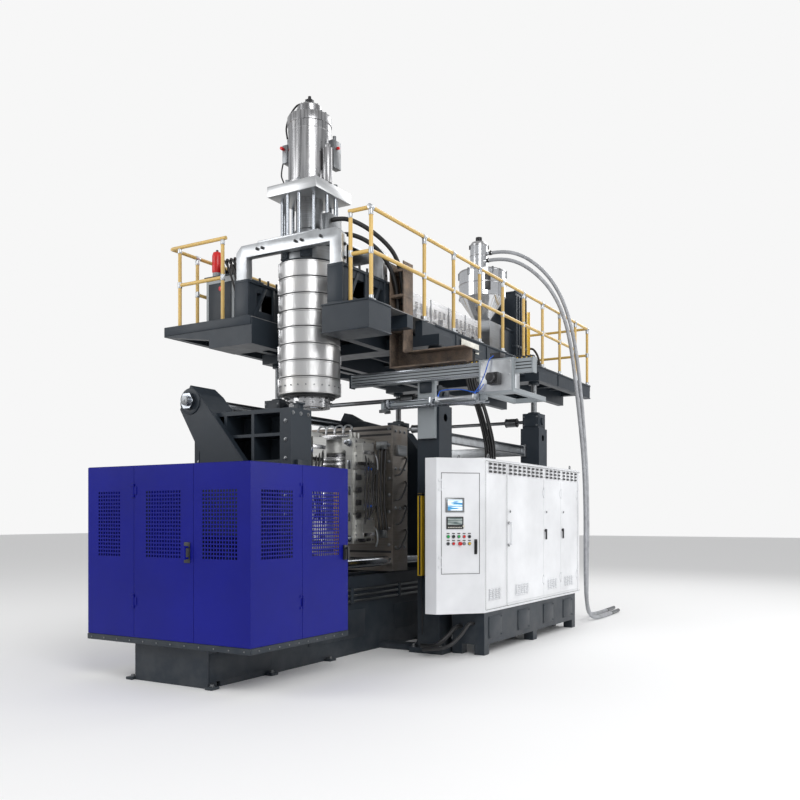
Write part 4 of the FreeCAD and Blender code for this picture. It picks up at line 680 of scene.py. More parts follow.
PLAIN_NODES: dict[Finish, tuple[str, ...]] = {
    Finish.GUARD_BLUE: ("guard_panels", "guard_front_door", "guard_side_door"),
    Finish.DARK: ("clamp_base", "front_platen", "tie_bar_arm", "rear_yoke", "clamp_cylinder", "columns",
                  "jack_gearboxes", "guard_frame", "hydraulic_tank", "platform_frame", "drive_gearbox",
                  "drive_motor", "head_supports"),
    Finish.LIGHT: ("takeout_beam", "takeout_carriage", "walkway_units"),
    Finish.CABINET: ("cabinet_shell", "cabinet_door_1", "cabinet_door_2", "cabinet_door_3",
                     "control_door"),
    Finish.PLATE: ("rear_platen",),
    Finish.MOULD: ("mould_front", "mould_rear"),
    Finish.BAR: ("tie_bars", "clamp_rod", "blow_pin", "die_mandrel", "ram_rod"),
    Finish.STEEL: ("jack_screws", "cross_shafts", "head_body", "extruder_barrel", "extruder_screw",
                   "suction_lances"),
    Finish.STAINLESS: ("barrel_cover", "die_ring"),
    Finish.RUST: ("cable_tray",),
    Finish.DECK: ("platform_deck",),
    Finish.YELLOW: ("light_curtains", "belt_guard"),
    Finish.RAIL: ("railings",),
    Finish.BLACK: ("cabinet_latch_2", "cabinet_latch_3", "panel_instruments", "stop_button"),
    Finish.GREEN: ("start_button",),
    Finish.RED: ("emergency_stop",),
}


def dress_plain_nodes() -> None:
    """Give the frame nodes that show as they are their materials."""
    for finish, names in PLAIN_NODES.items():
        for name in names:
            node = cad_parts[name]
            node.data.materials.clear()
            node.data.materials.append(finish.material())


# ------------------------------------------------------------------ studio
# each lamp's place, the point it lights, its width in metres and its power in watts
LAMPS = (
    ((9.5, -7.5, 9.0), (0.5, 0.5, 2.2), 6.0, 620),
    ((-7.5, -8.0, 6.5), (0, 0, 2.6), 6.0, 330),
    ((2.0, 11.0, 9.5), (0, 2.5, 3.2), 7.0, 420),
    ((8.5, 4.5, 4.0), (1.2, 2.2, 1.8), 4.0, 160),
)
SENSOR_WIDTH = 36
CLIP_END = 200
FLOOR_REACH = 60.0


@dataclass
class Studio:
    """Floor, lights and camera."""

    camera_at: Point = (5.75, -7.68, 1.5)
    turn_degrees: float = 30.87
    lens: float = 39.0
    rise: float = 0.146
    exposure: float = 0.0
    sky: float = 0.62
    backdrop: float = 0.93

    def build(self) -> None:
        """Make the floor, the world, the lights and the camera."""
        self._floor()
        self._world()
        for lamp in LAMPS:
            self._light(*lamp)
        camera = bpy.data.objects.new("camera", bpy.data.cameras.new("camera"))
        camera.location = self.camera_at
        camera.rotation_euler = (math.pi / 2, 0, math.radians(self.turn_degrees))
        camera.data.lens = self.lens
        camera.data.sensor_width = SENSOR_WIDTH
        camera.data.shift_y = self.rise
        camera.data.clip_end = CLIP_END
        bpy.context.scene.collection.objects.link(camera)
        bpy.context.scene.camera = camera
        view = bpy.context.scene.view_settings
        view.view_transform = "Standard"
        view.exposure = self.exposure

    def _floor(self) -> None:
        """A plain pale floor."""
        mesh = bpy.data.meshes.new("floor")
        reach = FLOOR_REACH
        mesh.from_pydata([(-reach, -reach, 0), (reach, -reach, 0), (reach, reach, 0), (-reach, reach, 0)],
                         [], [(0, 1, 2, 3)])
        floor = bpy.data.objects.new("floor", mesh)
        bpy.context.scene.collection.objects.link(floor)
        shader = Shader("floor")
        shader.set(Base_Color=rgba((0.93, 0.93, 0.93)), Roughness=0.7)
        mesh.materials.append(shader.material)

    def _world(self) -> None:
        """A pale sky that is brighter overhead."""
        world = bpy.data.worlds.new("studio")
        bpy.context.scene.world = world
        world.use_nodes = True
        tree = world.node_tree
        place = tree.nodes.new("ShaderNodeTexCoord")
        height = tree.nodes.new("ShaderNodeSeparateXYZ")
        ramp = tree.nodes.new("ShaderNodeValToRGB")
        stops = ramp.color_ramp.elements
        stops[0].position, stops[0].color = 0.0, (0.97, 0.975, 0.985, 1)
        stops[1].position, stops[1].color = 0.75, (1.0, 1.0, 1.0, 1)
        dip = stops.new(0.28)
        dip.color = (0.86, 0.87, 0.89, 1)
        tree.links.new(place.outputs["Generated"], height.inputs[0])
        tree.links.new(height.outputs[2], ramp.inputs[0])
        ground = next(n for n in tree.nodes if n.type == "BACKGROUND")
        tree.links.new(ramp.outputs[0], ground.inputs[0])
        ground.inputs[1].default_value = self.sky
        backdrop = tree.nodes.new("ShaderNodeBackground")
        backdrop.inputs[0].default_value = rgba((self.backdrop,) * 3)
        chooser = tree.nodes.new("ShaderNodeMixShader")
        seen = tree.nodes.new("ShaderNodeLightPath")
        output = next(n for n in tree.nodes if n.type == "OUTPUT_WORLD")
        tree.links.new(seen.outputs["Is Camera Ray"], chooser.inputs[0])
        tree.links.new(ground.outputs[0], chooser.inputs[1])
        tree.links.new(backdrop.outputs[0], chooser.inputs[2])
        tree.links.new(chooser.outputs[0], output.inputs[0])

    def _light(self, spot: Point, aim: Point, size: float, power: float) -> None:
        """One soft area light aimed at a point."""
        data = bpy.data.lights.new("soft", "AREA")
        data.size = size
        data.energy = power
        lamp = bpy.data.objects.new("soft", data)
        lamp.location = spot
        lamp.rotation_euler = (Vector(aim) - Vector(spot)).to_track_quat("-Z", "Y").to_euler()
        bpy.context.scene.collection.objects.link(lamp)


# ------------------------------------------------------------------ guard
@dataclass
class Guard:
    """Latches, stiffening folds and screws on the guard's sheet panels."""

    screw: float = 0.007

    def build(self) -> None:
        """Make the guard's fittings."""
        panels, front, side = Node("guard_panels"), Node("guard_front_door"), Node("guard_side_door")
        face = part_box("guard_frame")[0].y - 0.004
        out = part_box("guard_frame")[1].x + 0.004
        lock = Solid()
        lock.box((front.high.x - 0.105, face - 0.006, 1.10), (front.high.x - 0.035, face, 1.28))
        lock.piece("front_door_plate", Finish.BLACK, "guard_front_door", 0.0015)
        edge = side.high.y
        latch = Solid()
        latch.box((out, edge - 0.085, 1.09), (out + 0.02, edge - 0.03, 1.23))
        latch.bar((out + 0.012, edge - 0.058, 1.2), (out + 0.05, edge - 0.058, 1.2), 0.012)
        latch.box((out + 0.036, edge - 0.072, 1.09), (out + 0.052, edge - 0.044, 1.21))
        latch.piece("side_door_latch", Finish.BLACK, "guard_side_door", 0.0015)
        folds = Solid()
        top = panels.high.z
        folds.box((panels.low.x + 0.004, face + 0.004, top), (out - 0.004, face + 0.03, top + 0.004))
        folds.box((out - 0.03, face + 0.03, top), (out - 0.004, -0.76, top + 0.004))
        folds.piece("guard_top_fold", Finish.GUARD_BLUE, FRAME, 0.001)
        skirt = Solid()
        skirt.box((panels.low.x - 0.002, face - 0.006, 0.356), (out + 0.002, face + 0.004, 0.406))
        skirt.box((out - 0.004, face + 0.004, 0.356), (out + 0.006, -0.76, 0.406))
        skirt.box((panels.low.x - 0.006, face + 0.004, 0.356), (panels.low.x + 0.004, -0.76, 0.406))
        skirt.piece("guard_skirt", Finish.DARK, FRAME, 0.0015)
        count = 12
        step = (out - panels.low.x - 0.12) / (count - 1)
        Repeater("skirt_screws_front", Unit.STUD, (self.screw, 10, 0.006),
                 (panels.low.x + 0.06, face - 0.008, 0.38), ((step, 0, 0), (0, 0, 1)), (count, 1),
                 (math.pi / 2, 0, 0)).build(Finish.STEEL, FRAME)
        Repeater("skirt_screws_side", Unit.STUD, (self.screw, 10, 0.006),
                 (out + 0.008, face + 0.1, 0.38), ((0, 0.135, 0), (0, 0, 1)),
                 (10, 1), (0, math.pi / 2, 0)).build(Finish.STEEL, FRAME)


# ------------------------------------------------------------------ cabinet
@dataclass
class Cabinet:
    """Vents, plates and panel furniture of the white electrical cabinet."""

    slot_size: tuple[float, float] = (0.070, 0.024)
    louvre_pitch: float = 0.022

    def build(self) -> None:
        """Make every cabinet detail."""
        self.shell = Node("cabinet_shell")
        self.side = self.shell.high.x
        self._vents()
        self._louvres()
        self._seams()
        self._lifting_eyes()
        self._panel()
        self._tank()

    def _vents(self) -> None:
        """Three rows of black blocks along the top of the long face, painted shade in the vent slots."""
        for name, low, high in (("a", 0.86, 1.30), ("b", 1.40, 2.42), ("c", 2.53, 3.03), ("d", 3.13, 3.66)):
            columns = max(3, round((high - low) / 0.125))
            Repeater(f"vent_slot_shade_{name}", Unit.BLOCK, (0.003, self.slot_size[0], self.slot_size[1]),
                     (self.side + 0.0002, low + 0.04, 1.992),
                     ((0, (high - low - 0.08) / (columns - 1), 0), (0, 0, 0.042)),
                     (columns, 3)).build(Finish.BLACK, FRAME)

    def _louvres(self) -> None:
        """Pressed louvres low on the doors and on the fixed panel."""
        groups = (("fixed", FRAME, 0.90, 4), ("one", "cabinet_door_1", 1.62, 5),
                  ("two", "cabinet_door_2", 2.64, 4), ("three", "cabinet_door_3", 3.24, 4))
        for name, body, start, columns in groups:
            Repeater(f"louvres_{name}", Unit.BLOCK, (0.012, 0.058, 0.010),
                     (self.side + 0.001, start, 0.60), ((0, 0.082, 0), (0, 0, self.louvre_pitch)),
                     (columns, 6), (0, 0.45, 0)).build(Finish.CABINET, body, 0.002)

    def _seams(self) -> None:
        """Door locks, end strip and painted shade in the gap lines of the fixed panels."""
        gap_shade = Solid()
        for y in (0.775, 1.335, 3.705):
            gap_shade.box((self.side - 0.001, y - 0.002, 0.50), (self.side + 0.0006, y + 0.002, 2.10))
        for z in (0.497, 2.103):
            gap_shade.box((self.side - 0.001, 0.775, z - 0.002), (self.side + 0.0006, 3.79, z + 0.002))
        gap_shade.piece("cabinet_gap_shade", Finish.BLACK, FRAME, 0)
        locks = {"cabinet_door_1": 1.40, "cabinet_door_2": 2.525, "cabinet_door_3": 3.125}
        for body, y in locks.items():
            lock = Solid()
            if body == "cabinet_door_1":
                for z in (1.18, 1.43):
                    lock.bar((self.side, y - 0.015, z), (self.side + 0.004, y - 0.015, z), 0.019, 16)
            lock.bar((self.side, y + 0.02, 1.56), (self.side + 0.006, y + 0.02, 1.56), 0.014, 16)
            lock.piece(f"{body}_lock", Finish.STEEL, body, 0.001)
        strip = Solid()
        strip.box((self.side - 0.16, self.shell.high.y, 0.62),
                  (self.side - 0.02, self.shell.high.y + 0.016, 1.98))
        strip.piece("cabinet_end_panel", Finish.GUARD_BLUE, FRAME, 0.003)

    def _lifting_eyes(self) -> None:
        """Eye bolts, a cable entry and a gutter on the cabinet's roof."""
        top = self.shell.high.z
        eyes = Solid()
        for x in (self.shell.low.x + 0.08, self.side - 0.08):
            for y in (1.0, 3.6):
                eyes.bar((x, y, top), (x, y, top + 0.02), 0.02, 16)
                circle = [(x, y + 0.022 * math.cos(t), top + 0.04 + 0.022 * math.sin(t))
                          for t in (2 * math.pi * i / 16 for i in range(17))]
                eyes.sweep(circle, 0.006, 8)
        eyes.piece("lifting_eyes", Finish.STEEL, FRAME, 0.001)
        gland = Solid()
        gland.box((self.shell.low.x + 0.03, 1.55, top), (self.side - 0.25, 1.86, top + 0.012))
        gland.piece("cable_entry", Finish.DARK, FRAME, 0.002)
        roof = Solid()
        roof.box((self.shell.low.x + 0.01, 0.80, top),
                 (self.side - 0.01, self.shell.high.y - 0.01, top + 0.006))
        roof.piece("cabinet_roof", Finish.CABINET, FRAME, 0.002)

    def _panel(self) -> None:
        """Screens, bezels, button rings and handle on the chamfered control door."""
        carry = Matrix.Translation((1.386, 0.370, 0)) @ Matrix.Rotation(math.atan2(0.394, 0.370), 4, "Z")
        body = "control_door"

        def spot(u: float, out: float, z: float) -> Vector:
            """A point on the panel: along it, out from it and up."""
            return carry @ Vector((u, -out, z))

        bezel, glass, grey, knobs, rings = Solid(), Solid(), Solid(), Solid(), Solid()
        bezel.box((0.100, -0.011, 1.548), (0.310, 0.0, 1.702), carry)
        bezel.piece("screen_bezel", Finish.STEEL, body, 0.003)
        glass.box((0.124, -0.0125, 1.568), (0.286, -0.004, 1.682), carry)
        glass.piece("touch_glass", Finish.GLASS_BLUE, body, 0)
        grey.box((0.124, -0.0095, 1.415), (0.286, -0.004, 1.488), carry)
        grey.piece("controller_glass", Finish.GLASS_GREY, body, 0)
        for i in range(9):
            knobs.box((0.126 + i * 0.018, -0.0125, 1.382), (0.138 + i * 0.018, -0.006, 1.392), carry)
        knobs.bar(spot(0.30, 0, 1.40), spot(0.30, 0.020, 1.40), 0.011, 20)
        knobs.piece("controller_keys", Finish.PALE, body, 0.001)
        lamps: dict[Finish, list[tuple[float, float]]] = {
            Finish.GREEN: [(0.25, 1.290)], Finish.RED: [(0.31, 1.290), (0.19, 1.215)],
            Finish.BLACK: [(0.37, 1.290), (0.13, 1.215)], Finish.YELLOW: [(0.37, 1.215)],
            Finish.STEEL: [(0.31, 1.215)]}
        for finish, places in lamps.items():
            heads = Solid()
            for u, z in places:
                heads.bar(spot(u, 0.002, z), spot(u, 0.014, z), 0.0135, 20)
            heads.piece(f"panel_heads_{finish.name.lower()}", finish, body, 0.002)
        for u, z in ((0.13, 1.29), (0.19, 1.29), (0.25, 1.29), (0.31, 1.29), (0.37, 1.29),
                     (0.13, 1.215), (0.19, 1.215), (0.26, 1.215), (0.31, 1.215), (0.37, 1.215)):
            rings.bar(spot(u, 0.0, z), spot(u, 0.003, z), 0.020, 24)
        rings.piece("button_rings", Finish.STEEL, body, 0.001)
        tags = Solid()
        for u in (0.13, 0.19, 0.25, 0.31, 0.37):
            tags.box((u - 0.016, -0.0015, 1.318), (u + 0.016, 0.0, 1.328), carry)
            tags.box((u - 0.016, -0.0015, 1.243), (u + 0.016, 0.0, 1.253), carry)
        tags.piece("panel_tags", Finish.BLACK, body, 0)
        pull = Solid()
        pull.box((0.425, -0.006, 1.10), (0.458, 0.0, 1.26), carry)
        pull.bar(spot(0.442, 0.006, 1.12), spot(0.442, 0.030, 1.135), 0.007, 12)
        pull.bar(spot(0.442, 0.006, 1.24), spot(0.442, 0.030, 1.225), 0.007, 12)
        pull.bar(spot(0.442, 0.030, 1.115), spot(0.442, 0.030, 1.245), 0.008, 16)
        pull.piece("control_door_handle", Finish.BLACK, body, 0.0015)
        # Thin black lines round the control door are painted shade in its gap.
        door_gap_shade = Solid()
        for low, high in (((0.052, -0.001, 0.892), (0.057, 0.001, 1.968)),
                          ((0.483, -0.001, 0.892), (0.488, 0.001, 1.968)),
                          ((0.052, -0.001, 0.890), (0.488, 0.001, 0.895)),
                          ((0.052, -0.001, 1.965), (0.488, 0.001, 1.970))):
            door_gap_shade.box(low, high, carry)
        door_gap_shade.piece("control_door_gap_shade", Finish.BLACK, FRAME, 0)

    def _tank(self) -> None:
        """Bolted covers and pipes on the oil tank's face under the cabinet."""
        tank = Node("hydraulic_tank")
        kit, pipes = Solid(), Solid()
        face = tank.high.x
        for y in (1.1, 1.9, 2.7, 3.4):
            kit.box((face, y - 0.17, 0.17), (face + 0.008, y + 0.17, 0.41))
            kit.bolts([(face + 0.008, y + dy, z) for dy in (-0.15, 0.15) for z in (0.19, 0.39)], "+X",
                      0.008, 0.007)
        kit.piece("tank_covers", Finish.DARK, FRAME, 0.003)
        front = tank.low.y
        pipes.bent([(1.45, front, 0.30), (1.45, front - 0.14, 0.30), (1.40, front - 0.28, 0.20),
                    (1.30, front - 0.34, 0.12), (1.12, front - 0.30, 0.10)], 0.024)
        pipes.bent([(1.60, front, 0.34), (1.60, front - 0.12, 0.34), (1.56, front - 0.26, 0.22),
                    (1.46, front - 0.38, 0.12), (1.20, front - 0.42, 0.08)], 0.020)
        pipes.piece("tank_hoses", Finish.RUBBER, FRAME, 0)


# ------------------------------------------------------------------ head
@dataclass
class Head:
    """Accumulator head: heater bands, ring bolts, cylinder, fittings and hoses."""

    cross_low: float = 4.97
    cross_high: float = 5.09
    guide_circle: float = 0.3
    seam_turns: tuple[float, ...] = (-2.15, 0.95)

    def build(self) -> None:
        """Make the head's detail from the die up."""
        self._bands()
        self._die()
        self._port()
        self._cylinder()
        self._manifolds()
        self._leads()

    def _bands(self) -> None:
        """Rolled sheet bands with beaded rims and bolted joints."""
        bands = Node("heater_bands")
        low, high, outer = bands.low.z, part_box("heater_bands")[1].z, bands.high.x
        count = 8
        pitch = (high + 0.008 - low) / count
        shells, joints, bolts = Solid(), Solid(), Solid()
        for i in range(count):
            z0, z1 = low + i * pitch, low + (i + 1) * pitch - 0.008
            inner = outer - 0.04
            shells.lathe((0, 0, 0),
                         [(inner, z0), (outer - 0.004, z0), (outer, z0 + 0.004), (outer, z0 + 0.012),
                                     (outer - 0.004, z0 + 0.016), (outer - 0.005, (z0 + z1) / 2),
                                     (outer - 0.004, z1 - 0.016), (outer, z1 - 0.012), (outer, z1 - 0.004),
                                     (outer - 0.004, z1), (inner, z1)], 96, closed=True)
            for turn in self.seam_turns:
                jitter = turn + (0.06 if i % 2 else -0.03)
                for side in (-1, 1):
                    angle = jitter + side * 0.022
                    carry = Matrix.Rotation(angle, 4, "Z")
                    joints.box((outer - 0.006, -0.0015, z0 + 0.01), (outer + 0.022, 0.0015, z1 - 0.01), carry)
                for z in (z0 + 0.04, z1 - 0.04):
                    a = Matrix.Rotation(jitter - 0.035, 4, "Z") @ Vector((outer + 0.010, 0, z))
                    b = Matrix.Rotation(jitter + 0.035, 4, "Z") @ Vector((outer + 0.010, 0, z))
                    bolts.bar(a, b, 0.004, 10)
        shells.piece("heater_band_shells", Finish.BAND, PLATFORM, 0, 40, ("heater_bands",))
        joints.piece("heater_band_joints", Finish.STAINLESS, PLATFORM, 0.0006)
        for turn in range(24):
            angle = 2 * math.pi * turn / 24
            out = Matrix.Rotation(angle, 4, "Z")
            bolts.bar(out @ Vector((outer - 0.006, 0, low + 0.085)),
                      out @ Vector((outer + 0.004, 0, low + 0.085)),
                      0.008, 12)
        bolts.piece("heater_band_bolts", Finish.STEEL, PLATFORM, 0.0008)

    def _die(self) -> None:
        """Black clamping ring with its bolts, and adjusting bolts round the die."""
        die = Node("die_ring")
        ring = Solid()
        ring.lathe((0, 0, 0),
                   [(0.20, 2.792), (0.276, 2.792), (0.282, 2.798), (0.282, 2.822), (0.20, 2.822)], 72,
                   closed=True)
        ring.piece("die_clamp_ring", Finish.BLACK, PLATFORM, 0.001)
        spots = []
        screws = Solid()
        for i in range(16):
            angle = 2 * math.pi * i / 16
            spots.append((0.25 * math.cos(angle), 0.25 * math.sin(angle), 2.792))
            out = Vector((math.cos(angle), math.sin(angle), 0))
            screws.bar(out * 0.222 + Vector((0, 0, 2.742)), out * 0.252 + Vector((0, 0, 2.742)), 0.009, 6)
        screws.bolts(spots, "-Z", 0.011, 0.012)
        screws.piece("die_screws", Finish.STEEL, PLATFORM, 0.0008)
        log.info("die ring spans %s", tuple(round(v, 3) for v in die.high - die.low))

    def _port(self) -> None:
        """Square service port and clamp bolts on the dark section above the bands."""
        port = Solid()
        radius = 0.30
        for angle in (-2.0, -1.05, 0.6, 2.4):
            carry = Matrix.Rotation(angle, 4, "Z")
            port.box((radius - 0.02, -0.065, 4.275), (radius + 0.018, 0.065, 4.405), carry)
            port.box((radius + 0.018, -0.04, 4.30), (radius + 0.026, 0.04, 4.38), carry)
            for dy in (-0.052, 0.052):
                for z in (4.288, 4.392):
                    a = carry @ Vector((radius + 0.018, dy, z))
                    port.bar(a, carry @ Vector((radius + 0.027, dy, z)), 0.007, 6)
        port.lathe((0, 0, 0), [(0.28, 4.252), (0.325, 4.252), (0.325, 4.262), (0.28, 4.262)], 72, closed=True)
        port.lathe((0, 0, 0), [(0.28, 4.42), (0.34, 4.42), (0.34, 4.468), (0.28, 4.468)], 72, closed=True)
        port.piece("head_ports", Finish.DARK, PLATFORM, 0.0015)

    def _cylinder(self) -> None:
        """Polished ram cylinder with flanges, cap, top fitting, rods and crosshead."""
        body = Solid()
        body.lathe((0, 0, 0), [
            (0.14, self.cross_high), (0.262, self.cross_high), (0.262, 5.135), (0.233, 5.14), (0.233,
                                                                                               5.70), (0.236, 5.705),
            (0.236, 5.78), (0.244, 5.785), (0.244, 5.865), (0.236, 5.88), (0.135, 5.88), (0.135, 5.995),
            (0.12, 6.01), (0.05, 6.01), (0.05, 5.96), (0.06, 5.2)], 96, closed=True)
        body.piece("ram_barrel", Finish.CYLINDER, PLATFORM, 0, 30)
        plate = Solid()
        plate.box((-0.33, -0.33, self.cross_low), (0.33, 0.33, self.cross_high))
        plate.piece("crosshead_plate", Finish.MACHINED, PLATFORM, 0.008)
        rods, nuts = Solid(), Solid()
        for i in range(12):
            angle = math.radians(i * 30 + 15)
            x, y = self.guide_circle * math.cos(angle), self.guide_circle * math.sin(angle)
            rods.bar((x, y, 4.49), (x, y, self.cross_low), 0.019, 24)
            nuts.bar((x, y, 4.49), (x, y, 4.525), 0.032, 6)
            nuts.bar((x, y, self.cross_high), (x, y, 5.12), 0.028, 6)
        for i in range(20):
            angle = math.radians(i * 18)
            nuts.bar((0.215 * math.cos(angle), 0.215 * math.sin(angle), 5.88),
                     (0.215 * math.cos(angle), 0.215 * math.sin(angle), 5.90), 0.012, 6)
        for i in range(10):
            angle = math.radians(i * 36)
            nuts.bar((0.105 * math.cos(angle), 0.105 * math.sin(angle), 6.01),
                     (0.105 * math.cos(angle), 0.105 * math.sin(angle), 6.024), 0.009, 6)
        rods.piece("guide_rod_set", Finish.BAR, PLATFORM, 0, 40)
        nuts.piece("head_nuts", Finish.STEEL, PLATFORM, 0.001)
        inner = Solid()
        inner.lathe((0, 0, 0),
                    [(0.07, 4.49), (0.17, 4.49), (0.17, 4.62), (0.15, 4.64), (0.15, self.cross_low),
                     (0.07, self.cross_low)],
                    64, closed=True)
        inner.piece("rod_bearing_housing", Finish.STEEL, PLATFORM, 0.002, 30, ())
        side = Solid()
        side.bar((0.293, -0.07, self.cross_high), (0.293, -0.07, 5.47), 0.05, 40)
        side.bar((0.293, -0.07, 5.47), (0.293, -0.07, 5.51), 0.032, 6)
        side.bar((0.293, -0.07, 5.51), (0.293, -0.07, 5.60), 0.012, 16)
        side.box((0.238, -0.13, 5.12), (0.262, -0.01, 5.22))
        side.piece("position_cylinder", Finish.CYLINDER, PLATFORM, 0.003, 40)
        tip = Solid()
        tip.bar((0, 0, 6.01), (0, 0, 6.045), 0.042, 32)
        tip.box((-0.035, -0.035, 6.045), (0.035, 0.035, 6.09))
        tip.bar((0, 0, 6.09), (0, 0, 6.126), 0.018, 16)
        tip.bar((-0.035, 0, 6.07), (-0.08, 0, 6.07), 0.014, 6)
        tip.piece("ram_top_fitting", Finish.BLACK, PLATFORM, 0.002)
        valve = Solid()
        valve.box((0.25, -0.12, 4.50), (0.345, 0.12, 4.76))
        valve.piece("valve_body", Finish.STEEL, PLATFORM, 0.004, 35, ("ram_cylinder",))

    def _manifolds(self) -> None:
        """Valve manifolds beside the cylinder, with a looping cable and a red valve."""
        block, red, cable = Solid(), Solid(), Solid()
        block.box((-0.31, -0.09, 5.42), (-0.238, 0.06, 5.62))
        block.bar((-0.31, -0.02, 5.52), (-0.345, -0.02, 5.52), 0.022, 24)
        block.bar((-0.275, -0.02, 5.62), (-0.275, -0.02, 5.70), 0.018, 6)
        block.box((0.236, 0.02, 5.30), (0.31, 0.16, 5.60))
        block.bar((0.27, 0.09, 5.60), (0.27, 0.09, 5.66), 0.022, 6)
        block.piece("cylinder_manifolds", Finish.STEEL, PLATFORM, 0.003)
        red.bar((-0.30, -0.09, 5.58), (-0.30, -0.125, 5.58), 0.018, 16)
        red.bar((0.31, 0.09, 5.52), (0.335, 0.09, 5.52), 0.016, 16)
        red.piece("manifold_caps", Finish.RED, PLATFORM, 0.001)
        cable.bent([(-0.32, -0.03, 5.50), (-0.345, -0.04, 5.42), (-0.345, -0.06, 5.30), (-0.32, -0.05, 5.22),
                    (-0.30, -0.04, 5.12)], 0.008, 8)
        cable.bent([(-0.08, 0, 6.07), (-0.17, -0.01, 6.06), (-0.255, -0.02, 5.97), (-0.30, -0.03, 5.84),
                    (-0.285, -0.03, 5.71)], 0.010, 8)
        cable.piece("head_small_lines", Finish.RUBBER, PLATFORM, 0)

    def _leads(self) -> None:
        """Heater terminals with braided leads down the head's far side."""
        boxes, leads = Solid(), Solid()
        for i in range(8):
            z = 2.90 + i * 0.178
            carry = Matrix.Rotation(2.45, 4, "Z")
            boxes.box((0.335, -0.03, z - 0.028), (0.382, 0.03, z + 0.028), carry)
            start = carry @ Vector((0.382, 0.01 * (i % 3 - 1), z))
            out = carry @ Vector((0.43 + 0.006 * (i % 3), 0.02 * (i % 3 - 1), z + 0.05))
            top = carry @ Vector((0.41, 0.03 * (i % 4 - 1.5), 4.30))
            leads.bent([start, out, out.lerp(top, 0.5), top], 0.006, 8)
        boxes.piece("heater_terminals", Finish.BLACK, PLATFORM, 0.002)
        leads.piece("heater_leads", Finish.RUBBER, PLATFORM, 0)


# ------------------------------------------------------------------ clamp unit
def half_ring(y: float, side: int, inner: float, outer: float, z: float, steps: int = 20) -> list[Vector]:
    """A half annulus in a level plane that opens towards the parting face."""
    turns = [math.pi * i / steps for i in range(steps + 1)]
    near = [Vector((inner * math.cos(t), y + side * inner * math.sin(t), z)) for t in turns]
    far = [Vector((outer * math.cos(t), y + side * outer * math.sin(t), z)) for t in turns]
    return near + far[::-1]


